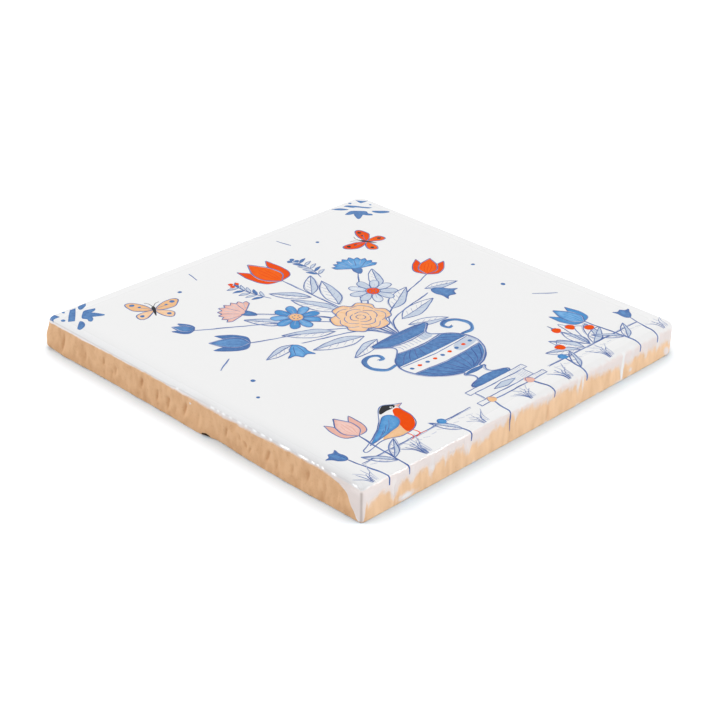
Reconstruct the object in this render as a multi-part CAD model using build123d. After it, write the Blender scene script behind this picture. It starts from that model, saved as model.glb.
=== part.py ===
"""Glazed earthenware wall tile, one fired piece, lying on its back with the glazed face up.

Sizes are in millimetres. The origin is the centre of the back face, +Z points out through the
glazed face, and +Y points to the top edge of the decoration, so +X is its right-hand edge.
"""

import os
from typing import NamedTuple

from build123d import *


class Roll(NamedTuple):
    """How a top arris rolls over at one end of its edge."""

    width: float  # in from the edge, across the glazed face
    depth: float  # down from the glazed face


# The square and its thickness
TILE_WIDTH = 100.0
TILE_HEIGHT = 100.0
TILE_THICKNESS = 7.3

# The back face is eased all round, as a cut clay edge is
BACK_ARRIS = 0.5

# The glazed face rolls over each edge. The left, right and top edges were cut sharp, and the
# bottom edge gets softer towards the right.
LEFT_ROLL_BOTTOM = Roll(width=0.6, depth=0.7)
LEFT_ROLL_TOP = Roll(width=0.6, depth=0.7)
BOTTOM_ROLL_LEFT = Roll(width=1.0, depth=0.9)
BOTTOM_ROLL_RIGHT = Roll(width=2.4, depth=1.3)
RIGHT_ROLL_BOTTOM = Roll(width=0.7, depth=0.5)
RIGHT_ROLL_TOP = Roll(width=0.6, depth=0.4)
TOP_ROLL_LEFT = Roll(width=0.6, depth=0.4)
TOP_ROLL_RIGHT = Roll(width=0.6, depth=0.4)

# Upright corners, seen from above
TOP_LEFT_CORNER = 2.4
TOP_RIGHT_CORNER = 2.4
BOTTOM_RIGHT_CORNER = 2.4
BOTTOM_LEFT_CORNER = 0.7

# A flake is missing from the back arris of the left edge
CHIP_LENGTH = 2.6
CHIP_RISE = 0.8
CHIP_DEPTH = 1.2
CHIP_UP_FROM_BOTTOM_EDGE = 45.3

# How far a cut runs past the faces it goes through
OVERRUN = 1.0

# Share of an arc's end tangent that makes a Bezier curve follow a quarter of an ellipse
QUARTER_ELLIPSE = 0.5523


def quarter_turn(start, corner, end):
    """A quarter of an ellipse from start to end, tangent to the lines that meet at corner."""
    start, corner, end = Vector(*start), Vector(*corner), Vector(*end)
    return Bezier(
        start,
        start + (corner - start) * QUARTER_ELLIPSE,
        end + (corner - end) * QUARTER_ELLIPSE,
        end,
    )


def cross_section(plane, width, low_roll, high_roll):
    """The tile's section on a plane: low_roll is at the plane's negative side, high_roll at its positive."""
    side = width / 2
    top = TILE_THICKNESS
    arris = BACK_ARRIS
    outline = [
        Line((-side + arris, 0), (side - arris, 0)),
        quarter_turn((side - arris, 0), (side, 0), (side, arris)),
        Line((side, arris), (side, top - high_roll.depth)),
        quarter_turn((side, top - high_roll.depth), (side, top), (side - high_roll.width, top)),
        Line((side - high_roll.width, top), (-side + low_roll.width, top)),
        quarter_turn((-side + low_roll.width, top), (-side, top), (-side, top - low_roll.depth)),
        Line((-side, top - low_roll.depth), (-side, arris)),
        quarter_turn((-side, arris), (-side, 0), (-side + arris, 0)),
    ]
    return plane * make_face(outline)


def bar_up_the_tile():
    """A bar along Y with the left and right edges' rolls."""
    facing_up = Plane(origin=(0, -TILE_HEIGHT / 2, 0), x_dir=(1, 0, 0), z_dir=(0, -1, 0))
    bottom = cross_section(facing_up, TILE_WIDTH, LEFT_ROLL_BOTTOM, RIGHT_ROLL_BOTTOM)
    top = cross_section(facing_up.offset(-TILE_HEIGHT), TILE_WIDTH, LEFT_ROLL_TOP, RIGHT_ROLL_TOP)
    return loft([bottom, top])


def bar_across_the_tile():
    """A bar along X with the bottom and top edges' rolls."""
    facing_right = Plane(origin=(-TILE_WIDTH / 2, 0, 0), x_dir=(0, 1, 0), z_dir=(1, 0, 0))
    left = cross_section(facing_right, TILE_HEIGHT, BOTTOM_ROLL_LEFT, TOP_ROLL_LEFT)
    right = cross_section(facing_right.offset(TILE_WIDTH), TILE_HEIGHT, BOTTOM_ROLL_RIGHT, TOP_ROLL_RIGHT)
    return loft([left, right])


def corner_waste(x_side, y_side, radius):
    """What one upright corner loses to its rounding; the sides are -1 or 1."""
    outward = {-1: Align.MAX, 1: Align.MIN}
    reach = radius + OVERRUN
    square = Rectangle(reach, reach, align=(outward[x_side], outward[y_side]))
    centre = Pos(x_side * (TILE_WIDTH / 2 - radius), y_side * (TILE_HEIGHT / 2 - radius), -OVERRUN)
    return centre * extrude(square - Circle(radius), TILE_THICKNESS + 2 * OVERRUN)


def missing_flake():
    """The hollow of the chip, centred on the left edge's back arris."""
    hollow = scale(Sphere(1), by=(CHIP_DEPTH, CHIP_LENGTH / 2, CHIP_RISE))
    return Pos(-TILE_WIDTH / 2, -TILE_HEIGHT / 2 + CHIP_UP_FROM_BOTTOM_EDGE, 0) * hollow


def tile():
    """The whole tile: what two crossing bars share, less its rounded corners and the chip."""
    body = bar_up_the_tile() & bar_across_the_tile()
    body -= corner_waste(-1, 1, TOP_LEFT_CORNER)
    body -= corner_waste(1, 1, TOP_RIGHT_CORNER)
    body -= corner_waste(1, -1, BOTTOM_RIGHT_CORNER)
    body -= corner_waste(-1, -1, BOTTOM_LEFT_CORNER)
    return body - missing_flake()


if __name__ == "__main__":
    os.makedirs("parts", exist_ok=True)
    export_step(tile(), "parts/tile.step")
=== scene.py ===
"""Looks of a hand-painted, glazed earthenware tile, built around its CAD solid."""

import logging
from dataclasses import dataclass, field
from enum import Enum
from math import ceil, cos, pi, radians, sin, sqrt, tau
from typing import Any, Sequence

import bpy
import numpy as np
from mathutils import Matrix, Vector
from mathutils.bvhtree import BVHTree
from mathutils.geometry import delaunay_2d_cdt
from numpy.linalg import norm

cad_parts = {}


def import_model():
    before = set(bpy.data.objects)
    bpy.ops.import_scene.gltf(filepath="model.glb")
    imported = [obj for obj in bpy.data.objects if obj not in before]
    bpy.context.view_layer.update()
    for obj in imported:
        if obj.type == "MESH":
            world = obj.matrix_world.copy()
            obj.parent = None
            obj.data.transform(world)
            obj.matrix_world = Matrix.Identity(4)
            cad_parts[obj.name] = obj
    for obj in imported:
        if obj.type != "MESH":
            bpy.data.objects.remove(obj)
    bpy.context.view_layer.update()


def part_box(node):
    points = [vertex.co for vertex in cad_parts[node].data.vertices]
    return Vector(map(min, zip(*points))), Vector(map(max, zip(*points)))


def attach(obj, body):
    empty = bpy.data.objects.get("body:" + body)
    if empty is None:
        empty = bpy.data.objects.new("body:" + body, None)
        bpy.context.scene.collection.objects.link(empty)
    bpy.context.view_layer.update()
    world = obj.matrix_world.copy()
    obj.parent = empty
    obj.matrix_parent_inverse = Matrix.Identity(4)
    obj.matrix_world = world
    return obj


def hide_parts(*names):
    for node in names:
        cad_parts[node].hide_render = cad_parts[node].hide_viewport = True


MM = 0.001
TINY = 1e-9
BAKE_MAP = "OFBake"
log = logging.getLogger("tile")

Array = np.ndarray
Piece = bpy.types.Object
Socket = bpy.types.NodeSocket
Colour = tuple[float, float, float]
Points = Sequence[tuple[float, float]]
Span = tuple[float, float]
Triples = Sequence[tuple[float, float, float]]


def screen(red: int, green: int, blue: int) -> Colour:
    """A colour named by its screen values, as the linear numbers that shaders take.

    Args:
        red: From 0 to 255.
        green: From 0 to 255.
        blue: From 0 to 255.

    Returns:
        Linear red, green and blue from 0 to 1.
    """

    def linear(value: int) -> float:
        """One channel's linear number."""
        share = value / 255
        return share / 12.92 if share <= 0.04045 else ((share + 0.055) / 1.055) ** 2.4

    return linear(red), linear(green), linear(blue)


def eased(low: float, high: float, values: Array) -> Array:
    """Values eased from 0 at low to 1 at high."""
    share = np.clip((values - low) / (high - low), 0, 1)
    return share * share * (3 - 2 * share)


def rows(kind: type, *values: tuple[float, ...]) -> tuple[Any, ...]:
    """One record of a kind for each row of values."""
    return tuple(kind(*row) for row in values)


def read(table: Any, name: str, kind: type, wide: int = 1) -> Array:
    """A property of everything in one table of a mesh.

    Args:
        table: Its vertices, edges, loops or polygons.
        name: The property.
        kind: What its numbers are.
        wide: How many numbers each row has.

    Returns:
        One number a row, or a row of numbers where it has more.
    """
    values = np.empty(len(table) * wide, kind)
    table.foreach_get(name, values)
    return values if wide == 1 else values.reshape(-1, wide)


class Value:
    """A socket that carries a number, for use in Python arithmetic."""

    def __init__(self, tree: bpy.types.NodeTree, socket: Socket) -> None:
        """Keeps the socket and the tree that new nodes go to."""
        self.tree = tree
        self.socket = socket

    def _math(self, operation: str, *operands: "Value | float") -> "Value":
        """Adds one Math node.

        Args:
            operation: The node's operation.
            operands: Values or numbers, in the order of its sockets.

        Returns:
            The node's result.
        """
        node = self.tree.nodes.new("ShaderNodeMath")
        node.operation = operation
        for socket, operand in zip(node.inputs, operands):
            if isinstance(operand, Value):
                self.tree.links.new(operand.socket, socket)
            else:
                socket.default_value = operand
        return Value(self.tree, node.outputs[0])

    def __add__(self, other: "Value | float") -> "Value":
        """This value plus another."""
        return self._math("ADD", self, other)

    __radd__ = __add__

    def __sub__(self, other: "Value | float") -> "Value":
        """This value less another."""
        return self._math("SUBTRACT", self, other)

    def __rsub__(self, other: "Value | float") -> "Value":
        """Another value less this one."""
        return self._math("SUBTRACT", other, self)

    def __mul__(self, other: "Value | float") -> "Value":
        """This value times another."""
        return self._math("MULTIPLY", self, other)

    __rmul__ = __mul__

    def __truediv__(self, other: "Value | float") -> "Value":
        """This value divided by another."""
        return self._math("DIVIDE", self, other)


class Nodes:
    """The nodes of one tree."""

    def __init__(self, tree: bpy.types.NodeTree) -> None:
        """Takes a tree and empties it."""
        self.tree = tree
        tree.nodes.clear()

    def node(
        self, kind: str, settings: dict[str, Any] | None = None, sockets: dict[str | int, Any] | None = None
    ) -> bpy.types.Node:
        """Adds a node.

        Args:
            kind: Blender's name for the node's type.
            settings: Properties of the node, set before its sockets.
            sockets: Numbers, colours, values or sockets for its inputs, by name or place.

        Returns:
            The new node.
        """
        node = self.tree.nodes.new(kind)
        for name, setting in (settings or {}).items():
            setattr(node, name, setting)
        for name, given in (sockets or {}).items():
            self.feed(node.inputs[name], given)
        return node

    def feed(self, socket: Socket, given: Any) -> None:
        """Links an input, or sets it.

        Args:
            socket: The input.
            given: A value or socket to link it to, or a number or colour to set it to.
        """
        if isinstance(given, Value):
            given = given.socket
        if isinstance(given, Socket):
            self.tree.links.new(given, socket)
        elif isinstance(given, tuple) and socket.type == "RGBA":
            socket.default_value = (*given, 1.0)
        else:
            socket.default_value = given

    def axes(self, place: Socket) -> list[Value]:
        """How far a place lies along X, Y and Z."""
        split = self.node("ShaderNodeSeparateXYZ", sockets={0: place})
        return [Value(self.tree, split.outputs[axis]) for axis in "XYZ"]

    def backdrop_rays(self) -> Value:
        """Which rays see the plain background.

        Returns:
            1 for a ray from the camera, off gloss or through glass, else 0.
        """
        path = self.node("ShaderNodeLightPath")
        rays = ("Is Camera Ray", "Is Glossy Ray", "Is Transmission Ray")
        direct, off_gloss, through_glass = (Value(self.tree, path.outputs[ray]) for ray in rays)
        return direct + off_gloss + through_glass

    def step(self, value: Value, low: float, high: float, start: float = 0.0, end: float = 1.0) -> Value:
        """A value eased from one number to another.

        Args:
            value: What the easing follows.
            low: Where the easing starts.
            high: Where it ends.
            start: What it gives up to low.
            end: What it gives from high on.

        Returns:
            The eased value.
        """
        sockets = {"Value": value, "From Min": low, "From Max": high, "To Min": start, "To Max": end}
        node = self.node("ShaderNodeMapRange", {"interpolation_type": "SMOOTHSTEP"}, sockets)
        return Value(self.tree, node.outputs["Result"])


@dataclass(frozen=True)
class Grain:
    """A random pattern.

    It has the size of its largest patches in mm, how many times finer ones are added, how strong those
    are, and a scale that draws it out downwards where it is below 1.
    """

    size: float
    detail: float = 3.0
    rough: float = 0.6
    upright: float = 1.0


class FinishNodes(Nodes):
    """The nodes of one material round a Principled surface."""

    def __init__(self, name: str) -> None:
        """Starts a material with its surface and output.

        Args:
            name: The material's name.
        """
        self.material = bpy.data.materials.new(name)
        self.material.use_nodes = True
        super().__init__(self.material.node_tree)
        self.surface = self.node("ShaderNodeBsdfPrincipled")
        self.output = self.node("ShaderNodeOutputMaterial", sockets={"Surface": self.surface.outputs[0]})

    def dress(self, **sockets: Any) -> None:
        """Feeds the Principled surface, with underscores for the spaces in its sockets' names."""
        for name, given in sockets.items():
            self.feed(self.surface.inputs[name.replace("_", " ")], given)

    def place(self) -> Socket:
        """Where a point lies on the object, in metres."""
        return self.node("ShaderNodeTexCoord").outputs["Object"]

    def attribute(self, name: str) -> Value:
        """A number that the mesh keeps at each of its points."""
        return Value(self.tree, self.node("ShaderNodeAttribute", {"attribute_name": name}).outputs["Fac"])

    def noise(self, place: Socket, grain: Grain) -> Value:
        """Soft random variation from 0 to 1.

        Args:
            place: Its coordinates.
            grain: Its pattern.

        Returns:
            The noise.
        """
        if grain.upright != 1.0:
            drawn = {"Vector": place, "Scale": (1.0, 1.0, grain.upright)}
            place = self.node("ShaderNodeMapping", sockets=drawn).outputs[0]
        scale = 1 / (grain.size * MM)
        sockets = {"Vector": place, "Scale": scale, "Detail": grain.detail, "Roughness": grain.rough}
        return Value(self.tree, self.node("ShaderNodeTexNoise", sockets=sockets).outputs["Fac"])

    def swing(self, place: Socket, grain: Grain) -> Value:
        """Soft random variation round 0, half a unit each way."""
        return self.noise(place, grain) - 0.5

    def blend(self, share: Value | float, first: Any, second: Any) -> Socket:
        """A colour between two others.

        Args:
            share: How much of the second there is, from 0 to 1.
            first: The colour at 0.
            second: The colour at 1.

        Returns:
            The mixed colour.
        """
        node = self.node("ShaderNodeMix", {"data_type": "RGBA"})
        self.feed(node.inputs["Factor"], share)
        for label, given in (("A", first), ("B", second)):
            socket = next(s for s in node.inputs if s.name == label and s.type == "RGBA")
            self.feed(socket, given)
        return next(s for s in node.outputs if s.type == "RGBA")

    def bump(
        self, height: Value, depth: float, strength: float = 1.0, under: Socket | None = None
    ) -> Socket:
        """A surface raised by a pattern.

        Args:
            height: The pattern, from 0 to 1.
            depth: What a height of 1 stands for, in mm.
            strength: How much of it shows.
            under: A bump that this one lies on.

        Returns:
            The bumped normal.
        """
        sockets = {"Height": height, "Distance": depth * MM, "Strength": strength}
        if under is not None:
            sockets["Normal"] = under
        return self.node("ShaderNodeBump", sockets=sockets).outputs["Normal"]


@dataclass(frozen=True)
class Glaze:
    """White tin glaze: glossy, a little uneven, pink where it runs thin over clay; lengths are in mm."""

    white: Colour = screen(241, 241, 241)
    thin: Colour = screen(235, 223, 219)
    # Grey-brown painted shade along the arrises, also used for a darker line down the near corner
    shade_and_seam: Colour = screen(168, 154, 148)
    edge_shade_grey: Colour = screen(224, 225, 227)
    # Painted shade near the left edge: how wide it is, and a place up the tile with its strength, twice
    grey_reach: float = 7.0
    grey_above: Span = (-10.0, 0.62)
    grey_below: Span = (-24.0, 1.0)
    roughness: float = 0.12
    dull_roughness: float = 0.85
    ripple: Grain = Grain(7.0, 1.0, 0.5)
    ripple_height: float = 0.03
    # The line where the glaze ends, ragged by streaks and blotches
    streak: Grain = Grain(0.8, 3.0, 0.65, 0.25)
    streak_reach: float = 2.4
    blotch: Grain = Grain(2.4, upright=0.6)
    blotch_reach: float = 4.0
    sharp_edge: float = 0.1
    ragged_edge: float = 1.1
    edge_range: Span = (-0.75, 0.9)
    edge_height: float = 0.08
    edge_strength: float = 0.6
    thin_cloud: Grain = Grain(1.6, upright=0.5)
    thin_cloud_share: float = 0.9
    thin_range: Span = (0.1, 0.9)

    def ripples(self, nodes: FinishNodes, place: Socket) -> Socket:
        """The gentle unevenness of the fired face, the same on white glaze and on paint."""
        return nodes.bump(nodes.noise(place, self.ripple), self.ripple_height)


@dataclass(frozen=True)
class Biscuit:
    """Bare fired clay: matt, sandy and tan; lengths are in mm."""

    tan: Colour = screen(220, 176, 134)
    # Darker tan of clouds and specks, also used for painted shade in the dents and towards the foot
    burnt_and_shade: Colour = screen(176, 122, 76)
    # Paler tan of a glaze film, also used for painted light on the dents' lit flanks
    pale: Colour = screen(253, 214, 174)
    # Near black painted as the shadow inside the chip
    chip_shadow: Colour = screen(46, 26, 13)
    roughness: float = 0.92
    # What darkens the tan: clouds, specks, and painted shade in the dents and towards the foot
    cloud: Grain = Grain(3.2, upright=0.35)
    cloud_range: Span = (0.4, 0.75)
    cloud_burn: float = 0.28
    speck: Grain = Grain(0.6, rough=0.7)
    speck_range: Span = (0.5, 0.8)
    speck_burn: float = 0.32
    painted_shade_share: float = 0.6
    # What a thin coat of glaze on it makes paler, and painted light on the dents' lit flanks
    streak: Grain = Grain(1.6, 1.5, 0.5, 0.2)
    cloud_pale: float = 0.4
    streak_pale: float = 0.9
    painted_light_share: float = 0.4
    # How the chip's painted shadow sets in
    chip_shadow_range: Span = (0.1, 0.9)
    sand: Grain = Grain(0.28, 3.0, 0.7, 0.6)
    sand_height: float = 0.16
    sand_strength: float = 0.7


@dataclass(frozen=True)
class TileFinish:
    """The one material of the tile: glaze where it ran, bare clay elsewhere."""

    glaze: Glaze
    biscuit: Biscuit
    half_width: float

    def clay(self, nodes: FinishNodes, place: Socket) -> Socket:
        """The clay's colour, cloudy and speckled, paler where a thin coat of glaze stuck to it, with painted
        light and shade on the dents and towards the foot, and painted shadow in the chip.

        Args:
            nodes: Its material.
            place: Its coordinates.

        Returns:
            The colour.
        """
        clay = self.biscuit
        cloud = nodes.noise(place, clay.cloud)
        speck = nodes.noise(place, clay.speck)
        painted_shading = nodes.attribute("painted_shading")
        film_and_chip_shadow = nodes.attribute("film_and_chip_shadow")
        clouded = nodes.step(cloud, *clay.cloud_range) * clay.cloud_burn
        specked = nodes.step(speck, *clay.speck_range) * clay.speck_burn
        # Painted shade from the dents and towards the foot darkens the tan, and painted light on the dents'
        # lit flanks pales it below
        coloured = nodes.blend(clouded + specked + painted_shading * clay.painted_shade_share, clay.tan, clay.burnt_and_shade)
        streak = nodes.swing(place, clay.streak)
        paler = film_and_chip_shadow + (cloud - 0.5) * clay.cloud_pale + streak * film_and_chip_shadow * clay.streak_pale
        paled = nodes.blend(nodes.step(paler - painted_shading * clay.painted_light_share, 0.0, 1.0), coloured, clay.pale)
        # Inside the chip the film value drops below 0, and the clay is painted near black as its shadow
        return nodes.blend(nodes.step(0.0 - film_and_chip_shadow, *clay.chip_shadow_range), paled, clay.chip_shadow)

    def painted_edge_shade(self, nodes: FinishNodes, place: Socket) -> Value:
        """How far painted shade greys the glaze towards the left edge, most of all low down.

        Args:
            nodes: Its material.
            place: Its coordinates.

        Returns:
            The greyness, from 0 to 1.
        """
        glaze = self.glaze
        across, along, _ = nodes.axes(place)
        edge = -self.half_width * MM
        near = nodes.step(across, edge, edge + glaze.grey_reach * MM, 1.0, 0.0)
        (above, least), (below, most) = glaze.grey_above, glaze.grey_below
        return near * near * nodes.step(along, above * MM, below * MM, least, most)

    def make(self) -> bpy.types.Material:
        """Builds the material.

        Returns:
            The material, which reads what the tile's mesh keeps at its points.
        """
        glaze, clay = self.glaze, self.biscuit
        nodes = FinishNodes("glazed_earthenware")
        place = nodes.place()
        ragged = nodes.attribute("ragged")
        torn = nodes.swing(place, glaze.streak) * glaze.streak_reach
        torn = torn + nodes.swing(place, glaze.blotch) * glaze.blotch_reach
        cover = nodes.attribute("glaze") + torn * ragged
        glazed = nodes.step(cover / (ragged * glaze.ragged_edge + glaze.sharp_edge), *glaze.edge_range)
        cloudy = nodes.swing(place, glaze.thin_cloud) * glaze.thin_cloud_share * ragged
        thinned = nodes.step(nodes.attribute("thin") + cloudy, *glaze.thin_range)
        # Painted shade greys the glaze towards the left edge
        enamel = nodes.blend(self.painted_edge_shade(nodes, place), glaze.white, glaze.edge_shade_grey)
        enamel = nodes.blend(thinned, enamel, glaze.thin)
        # Grey-brown painted shade round the arrises, and a darker line down the near corner
        enamel = nodes.blend(nodes.attribute("shade_and_seam"), enamel, glaze.shade_and_seam)
        sand = (1 - glazed) * nodes.noise(place, clay.sand)
        sandy = nodes.bump(sand, clay.sand_height, clay.sand_strength, glaze.ripples(nodes, place))
        sheen = glaze.roughness + nodes.attribute("dull") * (glaze.dull_roughness - glaze.roughness)
        nodes.dress(
            Base_Color=nodes.blend(glazed, self.clay(nodes, place), enamel),
            Roughness=clay.roughness - glazed * (clay.roughness - sheen),
            Normal=nodes.bump(glazed, glaze.edge_height, glaze.edge_strength, sandy),
        )
        return nodes.material


class Edge(Enum):
    """The tile's edges, in order round it, anticlockwise from the top left corner."""

    LEFT = 0
    BOTTOM = 1
    RIGHT = 2
    TOP = 3


@dataclass(frozen=True)
class ToolMark:
    """A dent that a tool left in the wet clay, placed round the rim from the top left corner, in mm."""

    along: float
    half_width: float
    sunk: float
    down: float = 3.7
    half_height: float = 2.0
    lean: float = 0.12


@dataclass(frozen=True)
class Drip:
    """A run of glaze down an edge."""

    along: float
    half_width: float
    reach: float
    thick: float = 0.25


@dataclass(frozen=True)
class Dab:
    """A spot of glaze on bare clay."""

    along: float
    down: float
    half_length: float
    half_height: float
    thick: float = 0.25


@dataclass(frozen=True)
class Bead:
    """A short swelling of glaze along an arris, with its share of the full gloss."""

    along: float
    half_length: float
    gloss: float = 1.0


@dataclass(frozen=True)
class Skin:
    """What is known of the tile's points, by ring from the face to the back and by column round the rim.

    It has the points, how far inside the glaze each one is, how thickly the glaze ran there, its painted
    light and shade from the dents and the foot, and how far it is in the chip.
    """

    points: Array
    cover: Array
    thick: Array
    painted_shading: Array
    in_chip: Array


@dataclass
class TileBody:
    """The fired tile: its outline, rolled arrises, tool marks, runs of glaze and chip, in mm.

    A line gives places round the rim, anticlockwise from the top left corner, with what it has there. A
    span gives the depths below the face between which something sets in.
    """

    width: float
    height: float
    thickness: float
    columns_per_edge: int = 480
    columns_per_corner: int = 10
    roll_rings: int = 9
    wall_rings: int = 24
    foot_rings: int = 4
    margin: float = 2.5
    seed: int = 7

    # How far each arris rolls in at its start and its end, what that differs by on the way, and its depth
    roll_widths: dict[Edge, Span] = field(default_factory=lambda: {
        Edge.LEFT: (0.5, 0.5), Edge.BOTTOM: (0.5, 2.4), Edge.RIGHT: (0.7, 0.6), Edge.TOP: (0.6, 0.5),
    })
    roll_change: Points = (
        (100, 0), (102, 0), (143, -0.67), (150, -0.2), (156, 0.5), (162, 0.6), (198, 0), (399, 0),
    )
    roll_depths: Points = (
        (4, 0.42), (50, 0.5), (96, 0.5), (104, 0.45), (140, 0.55), (150, 0.85), (156, 1.1), (163, 1.25),
        (196, 1.3), (203, 0.55), (210, 0.4), (300, 0.35), (396, 0.4),
    )
    roll_waves: tuple[float, ...] = (9, 5.5, 3.1, 1.7)
    roll_waver: float = 0.04

    # Radii of the upright corners, at the face, inside its rolls and at the foot
    face_corners: tuple[float, ...] = (2.6, 0.7, 2.4, 2.4)
    inner_corner_share: float = 0.7
    inner_corner_extra: float = 0.5
    foot_corners: tuple[float, ...] = (1.7, 0.6, 3.2, 2.0)

    # The wall's foot, its flare, its unevenness and the swelling under the top left corner
    foot_line: Points = (
        (0, 0.9), (4, 0.45), (20, 0.3), (40, 0.25), (50, 0.15), (53.4, 0.12), (56, 0.7), (61, 0.6),
        (67, 0.3), (85, 0.2), (96, 0.25), (100, 0.2), (103, 0.12), (113, 0.1), (115, 0.35), (117, 0.12),
        (160, 0.1), (175, 0.16), (194, 0.2), (200, 1), (206, 0.4), (250, 0.4), (300, 0.9), (350, 0.4),
        (396, 0.6),
    )
    foot_waves: tuple[float, ...] = (7, 4.1, 2.3)
    foot_waver: float = 0.03
    flare_line: Points = (
        (2, 0), (8, 0.3), (13, 0.15), (20, 0.05), (44, 0.15), (50, 0.35), (54, 0.32), (58, -0.3),
        (61, -0.3), (65, 0), (72, 0.25), (83, 0.3), (90, 0.15), (97, 0.1), (102, 0.2), (196, 0.24),
        (203, 0.1), (398, 0),
    )
    flare_span: Span = (2.5, 6.9)
    wall_span: Span = (0.15, 0.7)
    wall_foot: float = 0.4
    wall_waves: tuple[float, ...] = (23, 11, 6)
    wall_waver: float = 0.08
    ripples: int = 40
    ripple_waves: Span = (1.2, 9.0)
    ripple_rises: Span = (3.0, 14.0)
    ripple_height: float = 0.015
    usual_wave: float = 4.0
    corner_bulge: float = 0.72
    bulge_reach: float = 5.0
    bulge_span: Span = (0.6, 4.8)
    bulge_foot: float = 1.2

    tool_marks: tuple[ToolMark, ...] = rows(
        ToolMark,
        (7.2, 0.38, 0.28, 3.8, 2.3, 0.06), (5.6, 1.3, 0.12, 3.8, 2.8),
        (15.1, 0.42, 0.18, 3.9, 1.7, -0.05), (21.4, 0.32, 0.34, 2.9, 0.9, 0.05),
        (21.9, 0.45, 0.14, 4.8, 1.8, 0.05), (25.5, 0.75, 0.36, 3.8, 1.2, 0.2),
        (24.2, 0.9, 0.22, 5.6, 1.5), (34.4, 0.65, 0.46, 3.1, 1.3), (39.6, 0.6, 0.48, 3.9, 1.3, 0.05),
        (43.3, 0.7, 0.52, 4.3, 1.5), (45.6, 0.8, 0.16, 5.2, 1.2), (48.6, 0.55, 0.46, 3.6, 1.4),
        (52.9, 0.8, 0.2, 4.1, 1.6), (61.4, 0.5, 0.42, 3.7, 1.2, 0.25),
        (65.6, 0.35, 0.26, 2.9, 0.7, -0.4), (67.4, 0.3, 0.3, 3.9, 0.6, -0.6),
        (68.7, 0.3, 0.28, 4.7, 0.6, 0.3), (74, 0.6, 0.46, 3.7, 1.3, 0.25), (76.8, 0.7, 0.1, 4.4, 1.6),
        (81.2, 0.5, 0.28, 3.5, 1.1), (85.5, 0.6, 0.34, 3.4, 1.3, 0.2), (90.4, 0.6, 0.18, 4.2, 1.5),
        (93.4, 0.5, 0.1, 4.6, 1.4), (109.3, 0.28, 0.51, 5.4, 2.4, 0),
        (155.7, 0.3, 0.58, 4.6, 2.9, 0), (144.9, 0.22, 0.2, 4, 1.4, 0),
    )
    # Painted shade and light: how dark a dent is on its flank, how light on the other one, how dark at its
    # bottom, and how dark towards the foot
    flank_shade: float = 1.3
    flank_light: float = 0.8
    dent_shade: float = 0.35
    dent_depth: float = 0.5
    dent_line: Points = ((0, 1), (99, 1), (101, 0.35), (300, 0.35), (396, 1))
    foot_shade: Points = ((0, 0.28), (99, 0.28), (101, 0.08), (300, 0.08), (399, 0.28))
    foot_shade_span: Span = (4.2, 6.5)

    # How far down the glaze comes, its runs, its dabs and how far it stands out
    glaze_line: Points = (
        (2, 0.6), (5, 0.52), (8, 0.42), (18, 0.44), (21, 0.28), (25, 0.22), (27, 0.3), (34, 0.2),
        (42, 0.2), (46, 0.36), (48, 0.45), (51, 0.35), (54, 0.36), (56, 0.45), (63, 0.47), (67, 0.43),
        (71, 0.54), (74, 0.36), (79, 0.33), (88, 0.32), (90.5, 0.4), (92.6, 0.7), (94.2, 1.1), (96.2, 2.5),
        (97.3, 4.4), (98.7, 6.6), (99.3, 7.1), (100.5, 7.1), (101.2, 4), (103.5, 3.6), (105.3, 2.7),
        (107, 3.4), (110.5, 3), (112.5, 2.7), (116, 2.9), (117.5, 2.6), (121, 3), (125, 2.3),
        (128.5, 2.8), (132.5, 2.9), (135, 3.7), (138.5, 1.9), (142, 2.2), (144, 1.6), (149, 1.7),
        (152, 2), (158, 2.2), (163, 2.2), (168, 2.1), (172, 2.7), (178.5, 3.4), (187.5, 3.2), (200, 3.7),
        (230, 2.6), (300, 2), (345, 1.2), (385, 0.7), (399, 0.4),
    )
    drips: tuple[Drip, ...] = rows(
        Drip,
        (108.9, 1, 4.9), (113.9, 0.9, 4.1), (119.6, 1, 4.4, 0.45), (123.5, 0.5, 3.6),
        (130.1, 1, 4.4), (144.6, 0.35, 3.2), (155.6, 0.8, 2.7), (165.4, 0.7, 3.9, 0.5),
        (166.9, 0.35, 3.9, 0.5), (173.7, 0.6, 3.4), (180.8, 0.55, 7.6, 0.75), (184.1, 1, 4.3, 0.4),
        (189.4, 0.7, 4.5), (193.5, 0.5, 4.6, 0.4), (198.4, 0.6, 4.8), (212, 0.7, 4.8),
        (226, 0.5, 4), (247, 0.8, 5.2), (268, 0.5, 3.6), (291, 0.6, 4.4), (322, 0.6, 3.4),
    )
    drip_core: float = 0.8
    drip_tip: Span = (0.3, -1.0)
    dabs: tuple[Dab, ...] = rows(
        Dab,
        (112.4, 6.3, 2.3, 0.75, 0.6), (197.6, 6, 0.9, 1), (180.3, 7, 1.1, 0.4, 0.6),
        (184, 5.6, 0.5, 0.6), (50.3, 1.4, 0.3, 0.25, 0), (132, 7.1, 0.5, 0.3),
        (155, 7.1, 0.4, 0.25), (165.7, 7, 0.8, 0.25), (172.7, 7.1, 0.5, 0.25),
        (183.7, 7.1, 0.6, 0.25),
    )
    dab_edge: float = 0.9
    dab_slope: float = 0.5
    glaze_height: float = 0.10
    glaze_slope: Span = (-0.1, 0.25)
    face_cover: float = 2.0
    face_skin: float = 0.04
    back_cover: float = -5.0
    back_skin: float = 0.01

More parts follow.
